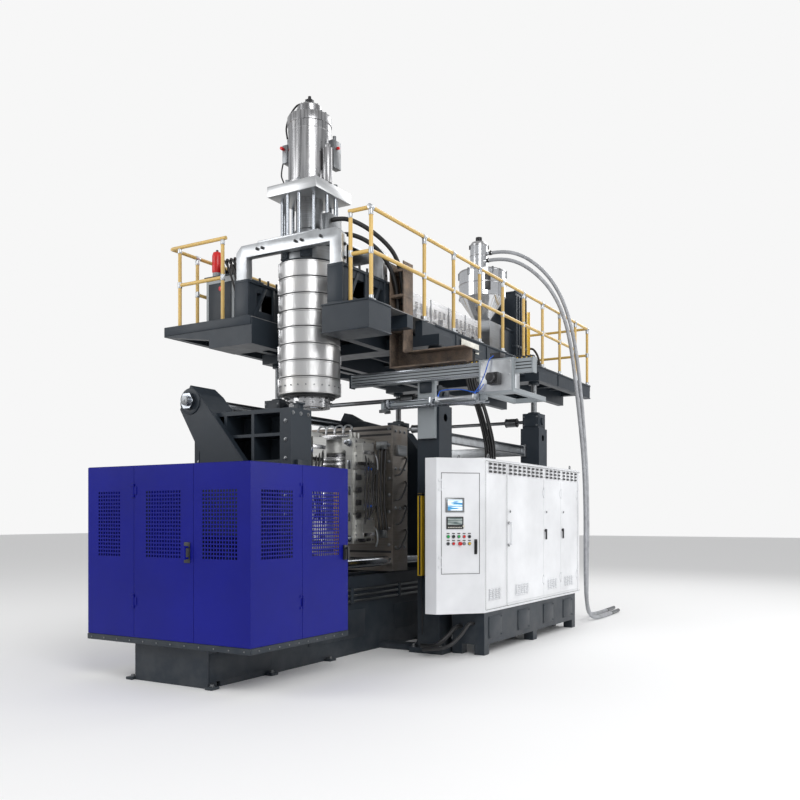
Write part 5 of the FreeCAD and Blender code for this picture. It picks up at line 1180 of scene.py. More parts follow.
@dataclass
class MouldHalf:
    """Cavity liner, plates, actuators, hoses and pillars of one mould half."""

    body: str
    node: str
    side: int
    hoop: float = 0.016

    def build(self) -> None:
        """Make one half's details."""
        self.block = Node(self.node)
        self.part = self.side * 0.28
        self._liner()
        self._plates()
        self._actuators()
        self._hoses()

    def _liner(self) -> None:
        """Drum cavity with its rolling hoops and chimes as polished rings."""
        liner = Solid()
        rings = []
        hoops = (1.37, 1.60, 1.83, 2.04, 2.20)
        for i in range(60):
            z = 1.349 + i * (2.231 - 1.349) / 59
            ripple = max(math.exp(-((z - h) / 0.022) ** 2) for h in hoops)
            flute = 0.0035 * math.sin(z * 110)
            rings.append(half_ring(self.part + self.side * 0.002, self.side,
                                   0.278 + self.hoop * 0.5 * ripple + flute, 0.2885, z))
        liner._loft(rings)
        liner.piece(f"{self.body}_cavity_liner", Finish.STAINLESS, self.body, 0, 50)

    def _plates(self) -> None:
        """Stacked mould plates, pillars, vents and bolts on the parting face."""
        part, side = self.part, self.side
        plates, pillars, bolts = Solid(), Solid(), Solid()
        for x0, x1 in ((-0.385, -0.384), (0.384, 0.386)):
            for z in (1.20, 1.345, 2.235, 2.379):
                plates.box((min(x0, 0.379 if x0 > 0 else x0), min(part, part + side * 0.46), z - 0.002),
                           (max(x1, -0.379 if x1 < 0 else x1), max(part, part + side * 0.46), z))
        ends = sorted((part + side * 0.02, part + side * 0.44))
        for z0, z1 in ((1.205, 1.33), (1.36, 1.52), (1.54, 1.77), (1.79, 2.02), (2.04, 2.22), (2.25, 2.375)):
            plates.box((0.379, ends[0], z0), (0.388, ends[1], z1))
            plates.box((-0.388, ends[0], z0), (-0.379, ends[1], z1))
        plates.piece(f"{self.body}_side_plates", Finish.MOULD, self.body, 0.002)
        for x in (-0.335, 0.335):
            for z in (1.26, 2.32):
                pillars.bar((x, part, z), (x, part - side * 0.075, z), 0.024, 24)
                pillars.bar((x, part, z), (x, part - side * 0.012, z), 0.040, 24)
            for z in (1.5, 1.79, 2.08):
                pillars.box((x - 0.022, min(part, part - side * 0.006), z - 0.05),
                            (x + 0.022, max(part, part - side * 0.006), z + 0.05))
        pillars.piece(f"{self.body}_pillars", Finish.BAR, self.body, 0.0015)
        spots = [(0.388, part + side * dy, z) for dy in (0.06, 0.23, 0.40)
                 for z in (1.24, 1.30, 1.40, 1.48, 1.58, 1.73, 1.83, 1.98, 2.08, 2.18, 2.28, 2.34)]
        bolts.bolts(spots, "+X", 0.009, 0.010)
        bolts.piece(f"{self.body}_plate_bolts", Finish.STEEL, self.body, 0.0007)

    def _actuators(self) -> None:
        """Black compression cylinders and bright manifolds on the operator's side."""
        part, side = self.part, self.side
        black, bright, red = Solid(), Solid(), Solid()
        for z in (1.26, 1.40, 2.12, 2.26):
            middle = part + side * 0.13
            black.bar((0.388, middle, z), (0.455, middle, z), 0.045, 24)
            black.bar((0.388, middle + side * 0.12, z), (0.44, middle + side * 0.12, z), 0.038, 24)
            bright.bar((0.455, middle, z), (0.468, middle, z), 0.018, 6)
        for z in (1.52, 1.66, 1.80, 1.94):
            black.box((0.388, min(part + side * 0.05, part + side * 0.11), z - 0.03),
                      (0.428, max(part + side * 0.05, part + side * 0.11), z + 0.03))
        for z in (1.30, 2.22):
            bright.box((0.468, min(part + side * 0.08, part + side * 0.30), z - 0.02),
                       (0.479, max(part + side * 0.08, part + side * 0.30), z + 0.02))
        bright.box((-0.30, min(part + side * 0.10, part + side * 0.34), 2.38),
                   (0.26, max(part + side * 0.10, part + side * 0.34), 2.43))
        for x in (-0.24, -0.12, 0.0, 0.12, 0.22):
            bright.bar((x, part + side * 0.2, 2.43), (x, part + side * 0.2, 2.49), 0.016, 6)
        for z in (1.46, 2.06):
            red.bar((0.388, part + side * 0.32, z), (0.402, part + side * 0.32, z), 0.014, 16)
        black.piece(f"{self.body}_actuators", Finish.BLACK, self.body, 0.002)
        bright.piece(f"{self.body}_manifolds", Finish.STAINLESS, self.body, 0.002)
        red.piece(f"{self.body}_ports", Finish.TUBE_BLUE, self.body, 0.001)

    def _hoses(self) -> None:
        """Water hoses, braided lines and air fittings looping along the mould."""
        part, side = self.part, self.side
        dice = random.Random(11 + side)
        black, white, blue = Solid(), Solid(), Solid()
        for i in range(5):
            y0 = part + side * (0.10 + 0.06 * i)
            sag = 0.035 + 0.03 * dice.random()
            z0, z1 = 2.24 - 0.03 * i, 1.36 + 0.05 * i
            black.bent([(0.43, y0, z0), (0.43 + sag, y0 + side * 0.03, z0 - 0.12),
                        (0.40 + sag, y0 + side * 0.05, (z0 + z1) / 2),
                        (0.43 + sag, y0 + side * 0.02, z1 + 0.12), (0.42, y0, z1)], 0.0095, 10)
        for i in range(4):
            x0 = -0.24 + 0.12 * i
            y0 = part + side * 0.2
            white.bent([(x0, y0, 2.49), (x0 + 0.02, y0 + side * 0.01, 2.535),
                        (x0 + 0.06, y0 + side * 0.02, 2.545), (x0 + 0.10, y0 + side * 0.01, 2.53),
                        (x0 + 0.12, y0, 2.49)], 0.011, 10)
        for z in (1.33, 2.16):
            white.bent([(0.45, part + side * 0.26, z + 0.05), (0.475, part + side * 0.33, z + 0.03),
                        (0.468, part + side * 0.38, z - 0.09), (0.43, part + side * 0.41,
                                                                z - 0.17)], 0.010, 10)
        for z in (1.36, 1.44, 1.62, 2.04, 2.18):
            y0 = part + side * (0.30 + 0.03 * dice.random())
            blue.bar((0.388, y0, z), (0.43, y0, z), 0.013, 12)
            blue.bar((0.43, y0, z), (0.44, y0, z), 0.018, 6)
        black.piece(f"{self.body}_water_hoses", Finish.RUBBER, self.body, 0, 60)
        white.piece(f"{self.body}_braided_lines", Finish.GALVANISED, self.body, 0, 60)
        blue.piece(f"{self.body}_quick_couplings", Finish.TUBE_BLUE, self.body, 0.001)


@dataclass
class Clamp:
    """Platens, arm, yoke and cylinder of the clamp, and the bed's fittings."""

    bolt: float = 0.014

    def build(self) -> None:
        """Make the clamp's details, carriage by carriage."""
        MouldHalf(FRONT, "mould_front", -1).build()
        MouldHalf(REAR, "mould_rear", 1).build()
        self._front()
        self._rear()
        self._bed()

    def _front(self) -> None:
        """Nuts, end faces, welds and bolts of the front platen and its arm."""
        x, z = -0.610, 2.675
        hub, weld, bolts, bright = Solid(), Solid(), Solid(), Solid()
        hub.lathe((x, 0, z),
                  [(0.06, -1.212), (0.13, -1.212), (0.135, -1.206), (0.135, -1.196), (0.06, -1.196)],
                  64, "Y", closed=True)
        hub.piece("arm_boss", Finish.DARK, FRONT, 0.001)
        bright.bar((x, -1.283, z), (x, -1.291, z), 0.048, 40)
        bright.bar((x, -1.291, z), (x, -1.295, z), 0.012, 12)
        for side in (-0.53, 0.53):
            bright.bar((side, -1.213, 1.0), (side, -1.219, 1.0), 0.048, 40)
        bright.piece("tie_bar_end_faces", Finish.STEEL, FRONT, 0.001)
        for a, b in (((-0.49, -1.202, 1.3), (-0.49, -1.202, 2.16)),
                     ((0.09, -1.202, 1.3), (0.09, -1.202, 2.06)),
                     ((-0.49, -1.202, 2.745), (0.09, -1.202, 2.06))):
            weld.sweep([Vector(a).lerp(Vector(b), i / 24) for i in range(25)], 0.006, 6)
        weld.piece("arm_weld_beads", Finish.DARK, FRONT, 0)
        for sx in (-0.56, 0.56):
            for k in range(9):
                bolts.bolts([(sx, -1.13, 0.98 + 0.18 * k)], "-Y", self.bolt, 0.014)
        bolts.bolts([(-0.56 + 0.16 * k, -0.8, 2.49) for k in range(8)], "+Y", self.bolt, 0.014)
        bolts.bolts([(0.62, -1.09 + 0.12 * k, 2.50) for k in range(3)], "+X", self.bolt, 0.014)
        bolts.bolts([(0.62, -1.09 + 0.12 * k, 1.16) for k in range(3)], "+X", self.bolt, 0.014)
        bolts.piece("front_platen_bolts", Finish.STEEL, FRONT, 0.001)
        guide = Solid()
        for sx in (-1, 1):
            guide.box((sx * 0.33 - 0.06, -1.12, 0.882), (sx * 0.33 + 0.06, -0.81, 0.93))
        guide.box((0.62, -1.06, 1.45), (0.655, -0.88, 2.05))
        guide.piece("front_guide_shoes", Finish.DARK, FRONT, 0.003)
        post = Solid()
        post.box((0.40, -0.80, 1.10), (0.47, -0.73, 2.62))
        post.box((0.385, -0.80, 2.62), (0.485, -0.72, 2.64))
        post.piece("mould_hose_post", Finish.DARK, FRONT, 0.003)

    def _rear(self) -> None:
        """Face bolts, clamping slots drawn as painted shade, piping and valve blocks of the rear platen."""
        slots, bolts, pipe = Solid(), Solid(), Solid()
        # Thin black strips on the platen face are painted shade in the clamping slots.
        for z in (1.02, 1.10, 2.44, 2.50):
            slots.box((-0.60, 0.7385, z - 0.012), (0.60, 0.7395, z + 0.012))
        slots.piece("platen_slot_shade", Finish.BLACK, REAR, 0)
        bolts.bolts([(sx, 0.74, 0.99 + 0.19 * k) for sx in (-0.57, 0.57) for k in range(9)], "-Y",
                    self.bolt, 0.016)
        bolts.bolts([(0.62, 0.80 + 0.10 * k, z) for k in range(3) for z in (1.15, 1.6, 2.05, 2.48)], "+X",
                    self.bolt, 0.014)
        bolts.piece("rear_platen_bolts", Finish.STEEL, REAR, 0.001)
        for k in range(4):
            z = 1.35 + 0.28 * k
            pipe.bent([(0.62, 1.02, z), (0.665, 0.98, z - 0.03), (0.675, 0.90, z - 0.12),
                       (0.66, 0.84, z - 0.2),
                       (0.62, 0.80, z - 0.22)], 0.011, 10)
        for k in range(3):
            x = 0.44 + 0.05 * k
            pipe.bent([(x, 0.745, 2.28), (x + 0.01, 0.70, 2.24), (x + 0.015, 0.67, 2.0),
                       (x + 0.01, 0.672, 1.66),
                       (x + 0.03, 0.69, 1.40), (x, 0.745, 1.32)], 0.012, 10)
        pipe.piece("rear_platen_hoses", Finish.RUBBER, REAR, 0, 60)
        blocks = Solid()
        blocks.box((0.42, 0.70, 2.27), (0.56, 0.745, 2.36))
        blocks.box((0.42, 0.70, 1.26), (0.56, 0.745, 1.35))
        blocks.box((0.62, 0.80, 2.2), (0.66, 1.0, 2.32))
        blocks.piece("rear_valve_blocks", Finish.STEEL, REAR, 0.002)

    def _bed(self) -> None:
        """Foot plates, rail screws, rod covers and pipes along the bed."""
        feet, screws, pipes, cover = Solid(), Solid(), Solid(), Solid()
        for y in (-2.06, -1.25, -0.3, 1.6, 2.8):
            for sx in (-1, 1):
                feet.box((min(sx * 0.45, sx * 0.53), y - 0.05, 0),
                         (max(sx * 0.45, sx * 0.53), y + 0.05, 0.025))
                screws.bolts([(sx * 0.49, y, 0.025)], "+Z", 0.018, 0.02)
        feet.piece("bed_feet", Finish.DARK, FRAME, 0.003)
        for sx in (-0.33, 0.33):
            screws.bolts([(sx, y / 10, 0.88) for y in range(-7, 7)], "+Z", 0.007, 0.004)
        screws.piece("bed_screws", Finish.STEEL, FRAME, 0.0008)
        for k in range(3):
            z = 0.70 - 0.06 * k
            pipes.bent([(0.455 + 0.016, -1.1, z), (0.468, -0.2, z), (0.468, 0.6, z), (0.468, 1.6, z),
                        (0.468, 2.8, z)], 0.014, 10, 4)
        pipes.piece("bed_pipes", Finish.STEEL, FRAME, 0, 60)
        for y in (-0.9, 0.1, 1.1, 2.1):
            cover.box((0.45, y, 0.56), (0.487, y + 0.05, 0.72))
        cover.box((0.45, -0.62, 0.18), (0.456, 0.42, 0.48))
        cover.box((0.45, 1.05, 0.18), (0.456, 2.55, 0.48))
        cover.box((0.45, -2.05, 0.05), (0.4535, -1.2, 0.30))
        cover.piece("bed_covers", Finish.DARK, FRAME, 0.002)


# ------------------------------------------------------------------ columns
@dataclass
class Columns:
    """Foot bolts, faces, gearboxes and lifting screws of the four columns."""

    middles: tuple[tuple[float, float], ...] = ((1.111, 0.84), (1.111, 3.75), (-1.111, 0.84), (-1.111, 3.75))
    shaft_up: float = 2.835

    def build(self) -> None:
        """Make every column's fittings."""
        bolts, gears, threads, nuts, ribs = Solid(), Solid(), Solid(), Solid(), Solid()
        for x, y in self.middles:
            spots = [(x + dx, y + dy, 0.06) for dx in (-0.17, 0.17) for dy in (-0.185, 0.185)]
            bolts.bolts(spots, "+Z", 0.02, 0.035)
            for dx in (-0.116, 0.116):
                for dz in (2.775, 2.895):
                    bolts.bolts([(x + dx * 0.8, y - 0.13, dz)], "-Y", 0.011, 0.010)
            gears.box((x - 0.10, y - 0.136, 2.76), (x + 0.10, y - 0.130, 2.91))
            gears.box((x + 0.116, y - 0.10, 2.76), (x + 0.122, y + 0.10, 2.91))
            gears.bar((x + 0.122, y, self.shaft_up), (x + 0.146, y, self.shaft_up), 0.055, 32)
            gears.bar((x, y, 2.94), (x, y, 2.962), 0.085, 32)
            for k in range(34):
                threads.lathe((x, y, 2.985 + k * 0.012), [(0.0395, 0), (0.0425, 0.003), (0.0395, 0.006)], 20,
                              closed=True)
            nuts.bar((x, y, 3.35), (x, y, 3.39), 0.075, 32)
            for sx, sy in ((1, 1), (1, -1), (-1, 1), (-1, -1)):
                ribs.prism("XZ", [(x + sx * 0.137, 0.06), (x + sx * 0.20, 0.06), (x + sx * 0.137, 0.19)],
                           y + sy * 0.10 - 0.006, y + sy * 0.10 + 0.006)
        bolts.piece("column_bolts", Finish.STEEL, FRAME, 0.0015)
        gears.piece("gearbox_faces", Finish.DARK, FRAME, 0.003)
        threads.piece("jack_threads", Finish.STEEL, PLATFORM, 0, 20)
        nuts.piece("jack_collars", Finish.DARK, PLATFORM, 0.003)
        ribs.piece("column_gussets", Finish.DARK, FRAME, 0.002)
        self._channels()
        self._curtains()

    def _channels(self) -> None:
        """Galvanised faces of the long channels, couplings and shaft keys."""
        plates, joints = Solid(), Solid()
        for sx in (-1, 1):
            a, b = sorted((sx * 0.993, sx * 0.995))
            plates.box((a, 0.99, 2.36), (b, 3.6, 2.48))
            a, b = sorted((sx * 1.0, sx * 1.057))
            plates.box((a, 0.99, 2.48), (b, 3.6, 2.483))
            a, b = sorted((sx * 1.003, sx * 1.005))
            plates.box((a, 0.99, 2.372), (b, 3.6, 2.468))
            for y in (1.0, 3.54):
                a, b = sorted((sx * 0.99, sx * 1.065))
                plates.box((a, y, 2.34), (b, y + 0.05, 2.50))
        plates.box((-0.975, 3.686, 2.355), (0.975, 3.69, 2.485))
        plates.piece("channel_faces", Finish.GALVANISED, FRAME, 0.0015)
        for y in (0.84, 3.75):
            for x in (-0.775, 0.775):
                joints.bar((x - 0.085, y, self.shaft_up), (x - 0.075, y, self.shaft_up), 0.064, 32)
                joints.bar((x + 0.075, y, self.shaft_up), (x + 0.085, y, self.shaft_up), 0.064, 32)
                for k in range(6):
                    t = math.pi * k / 3
                    dy, dz = 0.047 * math.cos(t), 0.047 * math.sin(t)
                    joints.bar((x - 0.092, y + dy, self.shaft_up + dz),
                               (x + 0.092, y + dy, self.shaft_up + dz), 0.007, 6)
        joints.piece("shaft_coupling_flanges", Finish.BLACK, FRAME, 0.001)

    def _curtains(self) -> None:
        """Dark lenses and brackets on the yellow light curtains."""
        lenses = Solid()
        for x in (-1.035, 1.035):
            lenses.box((x - 0.011, 0.6285, 0.86), (x + 0.011, 0.6305, 1.73))
            for z in (0.838, 1.745):
                lenses.box((x - 0.029, 0.627, z - 0.013), (x + 0.029, 0.692, z + 0.013))
        lenses.bent([(1.035, 0.665, 0.826), (1.035, 0.66, 0.70), (1.04, 0.675, 0.5), (1.04, 0.68, 0.2)],
                    0.006, 8)
        lenses.piece("curtain_lenses", Finish.BLACK, FRAME, 0.001)


# ------------------------------------------------------------------ platform
@dataclass
class Platform:
    """Supports, edges, underside, deck fittings and walkway units of the lifting platform."""

    deck_up: float = 3.686
    frame_edge: float = 1.035

    def build(self) -> None:
        """Make the platform's details."""
        self._supports()
        self._edges()
        self._underside()
        self._fittings()
        self._units()

    def _supports(self) -> None:
        """Bright portal bars, black bolt pairs, studs and gussets on the head's supports."""
        portals, bolts, studs, frames = Solid(), Solid(), Solid(), Solid()
        outline = [(-0.703, 4.098), (-0.557, 4.098), (-0.557, 4.337), (0.557, 4.337), (0.557, 4.098),
                   (0.703, 4.098),
                   (0.703, 4.402), (0.632, 4.473), (-0.632, 4.473), (-0.703, 4.402)]
        for y0, y1 in ((-0.404, -0.306), (0.396, 0.494)):
            portals.prism("XZ", outline, y0, y1)
        portals.box((-0.403, -0.403, 4.472), (0.403, 0.493, 4.492))
        portals.piece("portal_bars", Finish.GALVANISED, PLATFORM, 0.004)
        for x in (-0.40, -0.33, 0.12, 0.20, 0.45):
            bolts.bar((x, -0.404, 4.405), (x, -0.425, 4.405), 0.016, 16)
            bolts.bar((x, -0.425, 4.405), (x, -0.428, 4.405), 0.009, 6)
        for k in range(14):
            angle = 2 * math.pi * (k + 0.5) / 14
            bolts.bolts([(0.355 * math.cos(angle), 0.355 * math.sin(angle), 4.492)], "+Z", 0.012, 0.016)
        for sx in (-1, 1):
            for y in (-0.34, 0.46):
                bolts.bolts([(sx * 0.703, y, 4.16), (sx * 0.703, y, 4.30)], "-X" if sx < 0 else "+X",
                            0.013, 0.014)
        bolts.piece("portal_bolts", Finish.BLACK, PLATFORM, 0.001)
        for sx in (-1, 1):
            for y in (-0.25, -0.1, 0.05, 0.2, 0.60, 0.73):
                studs.bar((sx * 0.625, y, 4.1), (sx * 0.625, y, 4.19), 0.013, 16)
                studs.bar((sx * 0.625, y, 4.1), (sx * 0.625, y, 4.125), 0.023, 6)
        studs.piece("support_studs", Finish.BLACK, PLATFORM, 0.001)
        for sx in (-1, 1):
            a, b = sorted((sx * 0.53, sx * 0.72))
            frames.box((a, -0.41, 4.072), (b, 0.81, 4.102))
            frames.box((a, -0.41, self.deck_up), (b, 0.81, 3.711))
            for y in (-0.41, 0.02, 0.40, 0.78):
                frames.box((a, y, 3.71), (b, y + 0.025, 4.072))
            for y in (-0.30, 0.15):
                frames.prism("YZ", [(y, 3.711), (y + 0.05, 3.711), (y + 0.24, 4.072), (y + 0.19, 4.072)],
                             a + 0.012, b - 0.012)
        frames.piece("support_frames", Finish.DARK, PLATFORM, 0.003)

    def _edges(self) -> None:
        """Channel lips, toe boards and a blank plate along the platform's edges."""
        lips, plate = Solid(), Solid()
        lips.box((self.frame_edge, 0.99, 3.668), (1.047, 6.40, 3.690))
        lips.box((self.frame_edge, 0.99, 3.470), (1.047, 6.40, 3.486))
        lips.box((-1.792, -0.42, 3.588), (-1.780, 6.40, 3.70))
        lips.box((-1.780, -0.428, 3.60), (-0.48, -0.42, 3.70))
        lips.box((-1.780, 6.40, 3.60), (self.frame_edge, 6.41, 3.70))
        for y in (1.5, 2.35, 3.2, 4.05, 4.9, 5.75):
            lips.box((self.frame_edge, y, 3.486), (1.045, y + 0.014, 3.668))
        lips.box((0.462, -0.43, 3.39), (1.055, -0.42, 3.404))
        lips.box((0.462, -0.43, 3.672), (1.055, -0.42, 3.69))
        lips.box((1.05, -0.43, 3.39), (1.058, 0.002, 3.404))
        lips.box((1.05, -0.43, 3.672), (1.058, 0.002, 3.69))
        lips.piece("platform_lips", Finish.DARK, PLATFORM, 0.0025)
        plate.box((1.047, 1.62, 3.52), (1.051, 2.10, 3.64))
        plate.piece("blank_plate", Finish.PALE, PLATFORM, 0.001)

    def _underside(self) -> None:
        """Joists and bearers seen from below, and bolts under the front shoes."""
        joists, bolts = Solid(), Solid()
        for y in (1.25, 1.75, 2.75, 3.3, 4.35, 4.8, 5.7):
            joists.box((-0.94, y, 3.56), (0.94, y + 0.05, 3.679))
        for x in (-0.86, -0.25, 0.25, 0.86):
            joists.box((x - 0.025, 0.99, 3.53), (x + 0.025, 6.28, 3.60))
        for y in (0.3, 2.0, 3.8, 5.5):
            joists.prism("XZ",
                         [(-1.76, 3.60), (-self.frame_edge, 3.50), (-self.frame_edge, 3.679),
                          (-1.76, 3.679)], y, y + 0.012)
        joists.piece("deck_joists", Finish.DARK, PLATFORM, 0.002)
        for x in (0.56, 0.76, 0.96, -0.56, -0.78, -1.0):
            for y in (-0.36, -0.06):
                bolts.bolts([(x, y, self.deck_up)], "+Z", 0.014, 0.016)
        bolts.piece("shoe_bolts", Finish.STEEL, PLATFORM, 0.001)

    def _fittings(self) -> None:
        """Cast tees, elbows and foot flanges on the handrails."""
        clamps = Solid()
        right = [-0.32] + [0.78 + 0.71 * k for k in range(8)] + [6.33]
        left = [0.08 + 0.852 * k for k in range(7)] + [6.33]
        for x, spots in ((1.01, right), (-1.75, left)):
            for y in spots:
                clamps.bar((x, y - 0.035, 4.63), (x, y + 0.035, 4.63), 0.0265, 16)
                clamps.bar((x, y, 4.55), (x, y, 4.615), 0.0255, 16)
                clamps.bar((x, y, 4.155), (x, y, 4.225), 0.0255, 16)
                clamps.bar((x, y, self.deck_up), (x, y, 3.74), 0.026, 16)
                clamps.lathe((x, y, 0),
                             [(0.022, self.deck_up), (0.052, self.deck_up), (0.052, 3.694), (0.03, 3.70),
                              (0.022, 3.72)],
                             24, closed=True)
        for x, y in ((0.76, -0.32), (-1.62, -0.34), (-0.96, -0.34)):
            clamps.bar((x, y, 4.155), (x, y, 4.225), 0.0255, 16)
            clamps.bar((x, y, 4.56), (x, y, 4.612), 0.0255, 16)
        clamps.piece("rail_clamps", Finish.GALVANISED, PLATFORM, 0.0008)

    def _units(self) -> None:
        """Red accumulator, pump, pipes and box lids on the far walkway."""
        red, black, pipes, light = Solid(), Solid(), Solid(), Solid()
        x, y = -1.55, 0.21
        red.lathe((x, y, 0), [(0.012, 4.43), (0.05, 4.44), (0.062, 4.47), (0.062, 4.66), (0.05, 4.70),
                              (0.02, 4.715), (0.012, 4.715)], 32, closed=True)
        red.bar((-1.28, 0.0, 4.18), (-1.28, -0.03, 4.18), 0.03, 16)
        red.piece("pressure_flask", Finish.RED, PLATFORM, 0.001)
        black.bar((x, y, 4.38), (x, y, 4.43), 0.035, 6)
        black.bar((x, y, 4.715), (x, y, 4.735), 0.016, 6)
        black.bar((-1.30, 0.24, 4.38), (-1.30, 0.24, 4.52), 0.06, 24)
        black.box((-1.45, 0.16, 4.38), (-1.37, 0.30, 4.46))
        for z in (3.95, 4.25):
            black.box((-1.201, 0.16, z), (-1.188, 0.58, z + 0.05))
        black.piece("hydraulic_fittings", Finish.BLACK, PLATFORM, 0.002)
        for k in range(4):
            a = -1.42 + 0.06 * k
            pipes.bent([(a, 0.20, 4.46), (a + 0.05, 0.12, 4.56), (a + 0.2, 0.05, 4.42),
                        (a + 0.34, 0.05, 4.05),
                        (a + 0.40, 0.12, 3.80), (a + 0.44, 0.35, 3.73)], 0.014, 10)
        pipes.piece("unit_hoses", Finish.RUBBER, PLATFORM, 0, 60)
        light.box((-1.66, 0.10, 4.372), (-1.18, 0.64, 4.388))
        light.box((-1.60, 0.114, 3.78), (-1.24, 0.12, 4.30))
        light.piece("unit_lids", Finish.DARK, PLATFORM, 0.003)
        fan = Solid()
        fan.lathe((0, 1.10, 3.836), [(0.13, 0), (0.155, 0), (0.155, 0.02), (0.13, 0.02)], 48, "Y",
                  closed=True)
        for k in range(16):
            z = 3.836
            a = 2 * math.pi * k / 16
            fan.bar((-1.42 + 0.152 * math.cos(a), 0.70, z + 0.152 * math.sin(a)),
                    (-1.42 + 0.152 * math.cos(a), 1.06, z + 0.152 * math.sin(a)), 0.006, 6)
        fan.piece("pump_motor_fins", Finish.DARK, PLATFORM, 0)


# ------------------------------------------------------------------ extruder line
@dataclass
class Extruder:
    """Barrel cover, blowers, gearbox, belt guard, motor, hopper and loader."""

    motor_up: float = 4.0

    def build(self) -> None:
        """Make the extruder line's details from the head to the motor."""
        self._cover()
        self._gearbox()
        self._belt_guard()
        self._motor()
        self._hopper()
        self._loader()

    def _cover(self) -> None:
        """Panel seams, latches, vents and cooling blowers of the barrel cover."""
        seams, latches, black = Solid(), Solid(), Solid()
        for k in range(7):
            y = 0.9 + k * 3.05 / 6
            a, b = max(0.9, y - 0.012), min(3.95, y + 0.012)
            seams.box((-0.194, a, 4.378), (0.194, b, 4.384))
            for sx in (-1, 1):
                low, high = sorted((sx * 0.19, sx * 0.194))
                seams.box((low, a, 4.0), (high, b, 4.38))
                low, high = sorted((sx * 0.194, sx * 0.206))
                if k < 6:
                    latches.box((low, y + 0.22, 4.05), (high, y + 0.26, 4.12))
        seams.piece("cover_straps", Finish.STEEL, PLATFORM, 0.001)
        latches.piece("cover_latches", Finish.BLACK, PLATFORM, 0.0015)
        # Thin black blocks on the cover's side are painted shade in its vent openings.
        Repeater("cover_vent_shade", Unit.BLOCK, (0.004, 0.07, 0.008), (0.1905, 1.02, 4.16),
                 ((0, 0.127, 0), (0, 0, 0.022)), (23, 6)).build(Finish.BLACK, PLATFORM)
        for k in range(4):
            y = 1.2 + 0.7 * k
            black.lathe((0, y, 3.816), [(0.02, 0.33), (0.11, 0.33), (0.11, 0.336), (0.02, 0.336)], 32, "X",
                        closed=True)
            for ring in (0.04, 0.07, 0.10):
                black.lathe((0, y, 3.816), [(ring, 0.336), (ring + 0.005, 0.336), (ring + 0.005, 0.342),
                                            (ring, 0.342)], 32, "X", closed=True)
            black.bar((0.336, y, 3.816), (0.40, y, 3.816), 0.05, 24)
        black.piece("blower_grilles", Finish.BLACK, PLATFORM, 0.001)

    def _gearbox(self) -> None:
        """Bolted lids, ribs and breather of the reduction gearbox."""
        ribs, bolts = Solid(), Solid()
        for y in (4.93, 5.03, 5.13, 5.23, 5.33):
            for sx in (-1, 1):
                low, high = sorted((sx * 0.33, sx * 0.346))
                ribs.box((low, y - 0.008, 3.80), (high, y + 0.008, 4.98))
        ribs.box((-0.345, 4.915, 4.16), (0.345, 5.352, 4.20))
        ribs.box((-0.29, 4.65, 4.40), (0.29, 4.92, 4.425))
        ribs.box((-0.34, 4.91, 5.02), (0.34, 5.352, 5.045))
        ribs.piece("gearbox_ribs", Finish.DARK, PLATFORM, 0.003)
        for sx in (-0.30, -0.10, 0.10, 0.30):
            bolts.bolts([(sx, 4.95, 5.045), (sx, 5.31, 5.045)], "+Z", 0.013, 0.016)
        bolts.bolts([(0.346, 4.98 + 0.1 * k, 4.18) for k in range(4)], "+X", 0.011, 0.012)
        bolts.bar((0.1, 5.13, 5.045), (0.1, 5.13, 5.09), 0.03, 24)
        bolts.piece("gearbox_bolts", Finish.STEEL, PLATFORM, 0.001)

    def _belt_guard(self) -> None:
        """Folded rim and louvres of the yellow belt guard."""
        rim = Solid()
        for sx in (-1, 1):
            low, high = sorted((sx * 0.30, sx * 0.312))
            rim.box((low, 5.352, 3.70), (high, 5.37, 4.835))
            rim.box((low, 5.542, 3.70), (high, 5.56, 4.835))
        rim.box((-0.312, 5.352, 4.83), (0.312, 5.37, 4.84))
        rim.box((-0.312, 5.542, 4.83), (0.312, 5.56, 4.84))
        rim.piece("belt_guard_rim", Finish.YELLOW, PLATFORM, 0.002)
        Repeater("belt_guard_louvres", Unit.BLOCK, (0.006, 0.12, 0.010), (0.301, 5.456, 4.1),
                 ((0, 0.001, 0), (0, 0, 0.034)), (1, 16), (0, 0.5, 0)).build(Finish.YELLOW, PLATFORM, 0.0015)

    def _motor(self) -> None:
        """Cooling fins, fan cowl and terminal box of the main motor."""
        fins, cowl, box = Solid(), Solid(), Solid()
        for k in range(48):
            a = 2 * math.pi * k / 48
            turn = Matrix.Translation((0, 0, self.motor_up)) @ Matrix.Rotation(a, 4, "Y")
            fins.box((0.252, 5.62, -0.004), (0.278, 6.03, 0.004), turn)
        fins.piece("motor_fins", Finish.DARK, PLATFORM, 0)
        cowl.lathe((0, 0, self.motor_up),
                   [(0.20, 6.035), (0.272, 6.035), (0.28, 6.045), (0.28, 6.16), (0.262, 6.184),
                                 (0.20, 6.184)], 64, "Y", closed=True)
        for ring in (0.06, 0.10, 0.14, 0.18):
            cowl.lathe((0, 0, self.motor_up),
                       [(ring, 6.182), (ring + 0.012, 6.182), (ring + 0.012, 6.19), (ring, 6.19)],
                       48, "Y", closed=True)
        cowl.lathe((0, 0, self.motor_up), [(0.22, 5.563), (0.275, 5.563), (0.275, 5.60), (0.22, 5.60)], 64,
                   "Y",
                   closed=True)
        cowl.piece("motor_cowl", Finish.DARK, PLATFORM, 0.001)
        box.box((-0.12, 5.71, 4.355), (0.12, 5.955, 4.378))
        box.bolts([(x, y, 4.378) for x in (-0.10, 0.10) for y in (5.73, 5.935)], "+Z", 0.008, 0.008)
        box.bar((0.11, 5.83, 4.30), (0.15, 5.83, 4.30), 0.024, 6)
        box.bent([(0.15, 5.83, 4.30), (0.26, 5.83, 4.28), (0.36, 5.80, 4.12), (0.40, 5.78, 3.86),
                  (0.42, 5.7, 3.71)],
                 0.018, 12)
        box.piece("motor_terminal_box", Finish.BLACK, PLATFORM, 0.002)

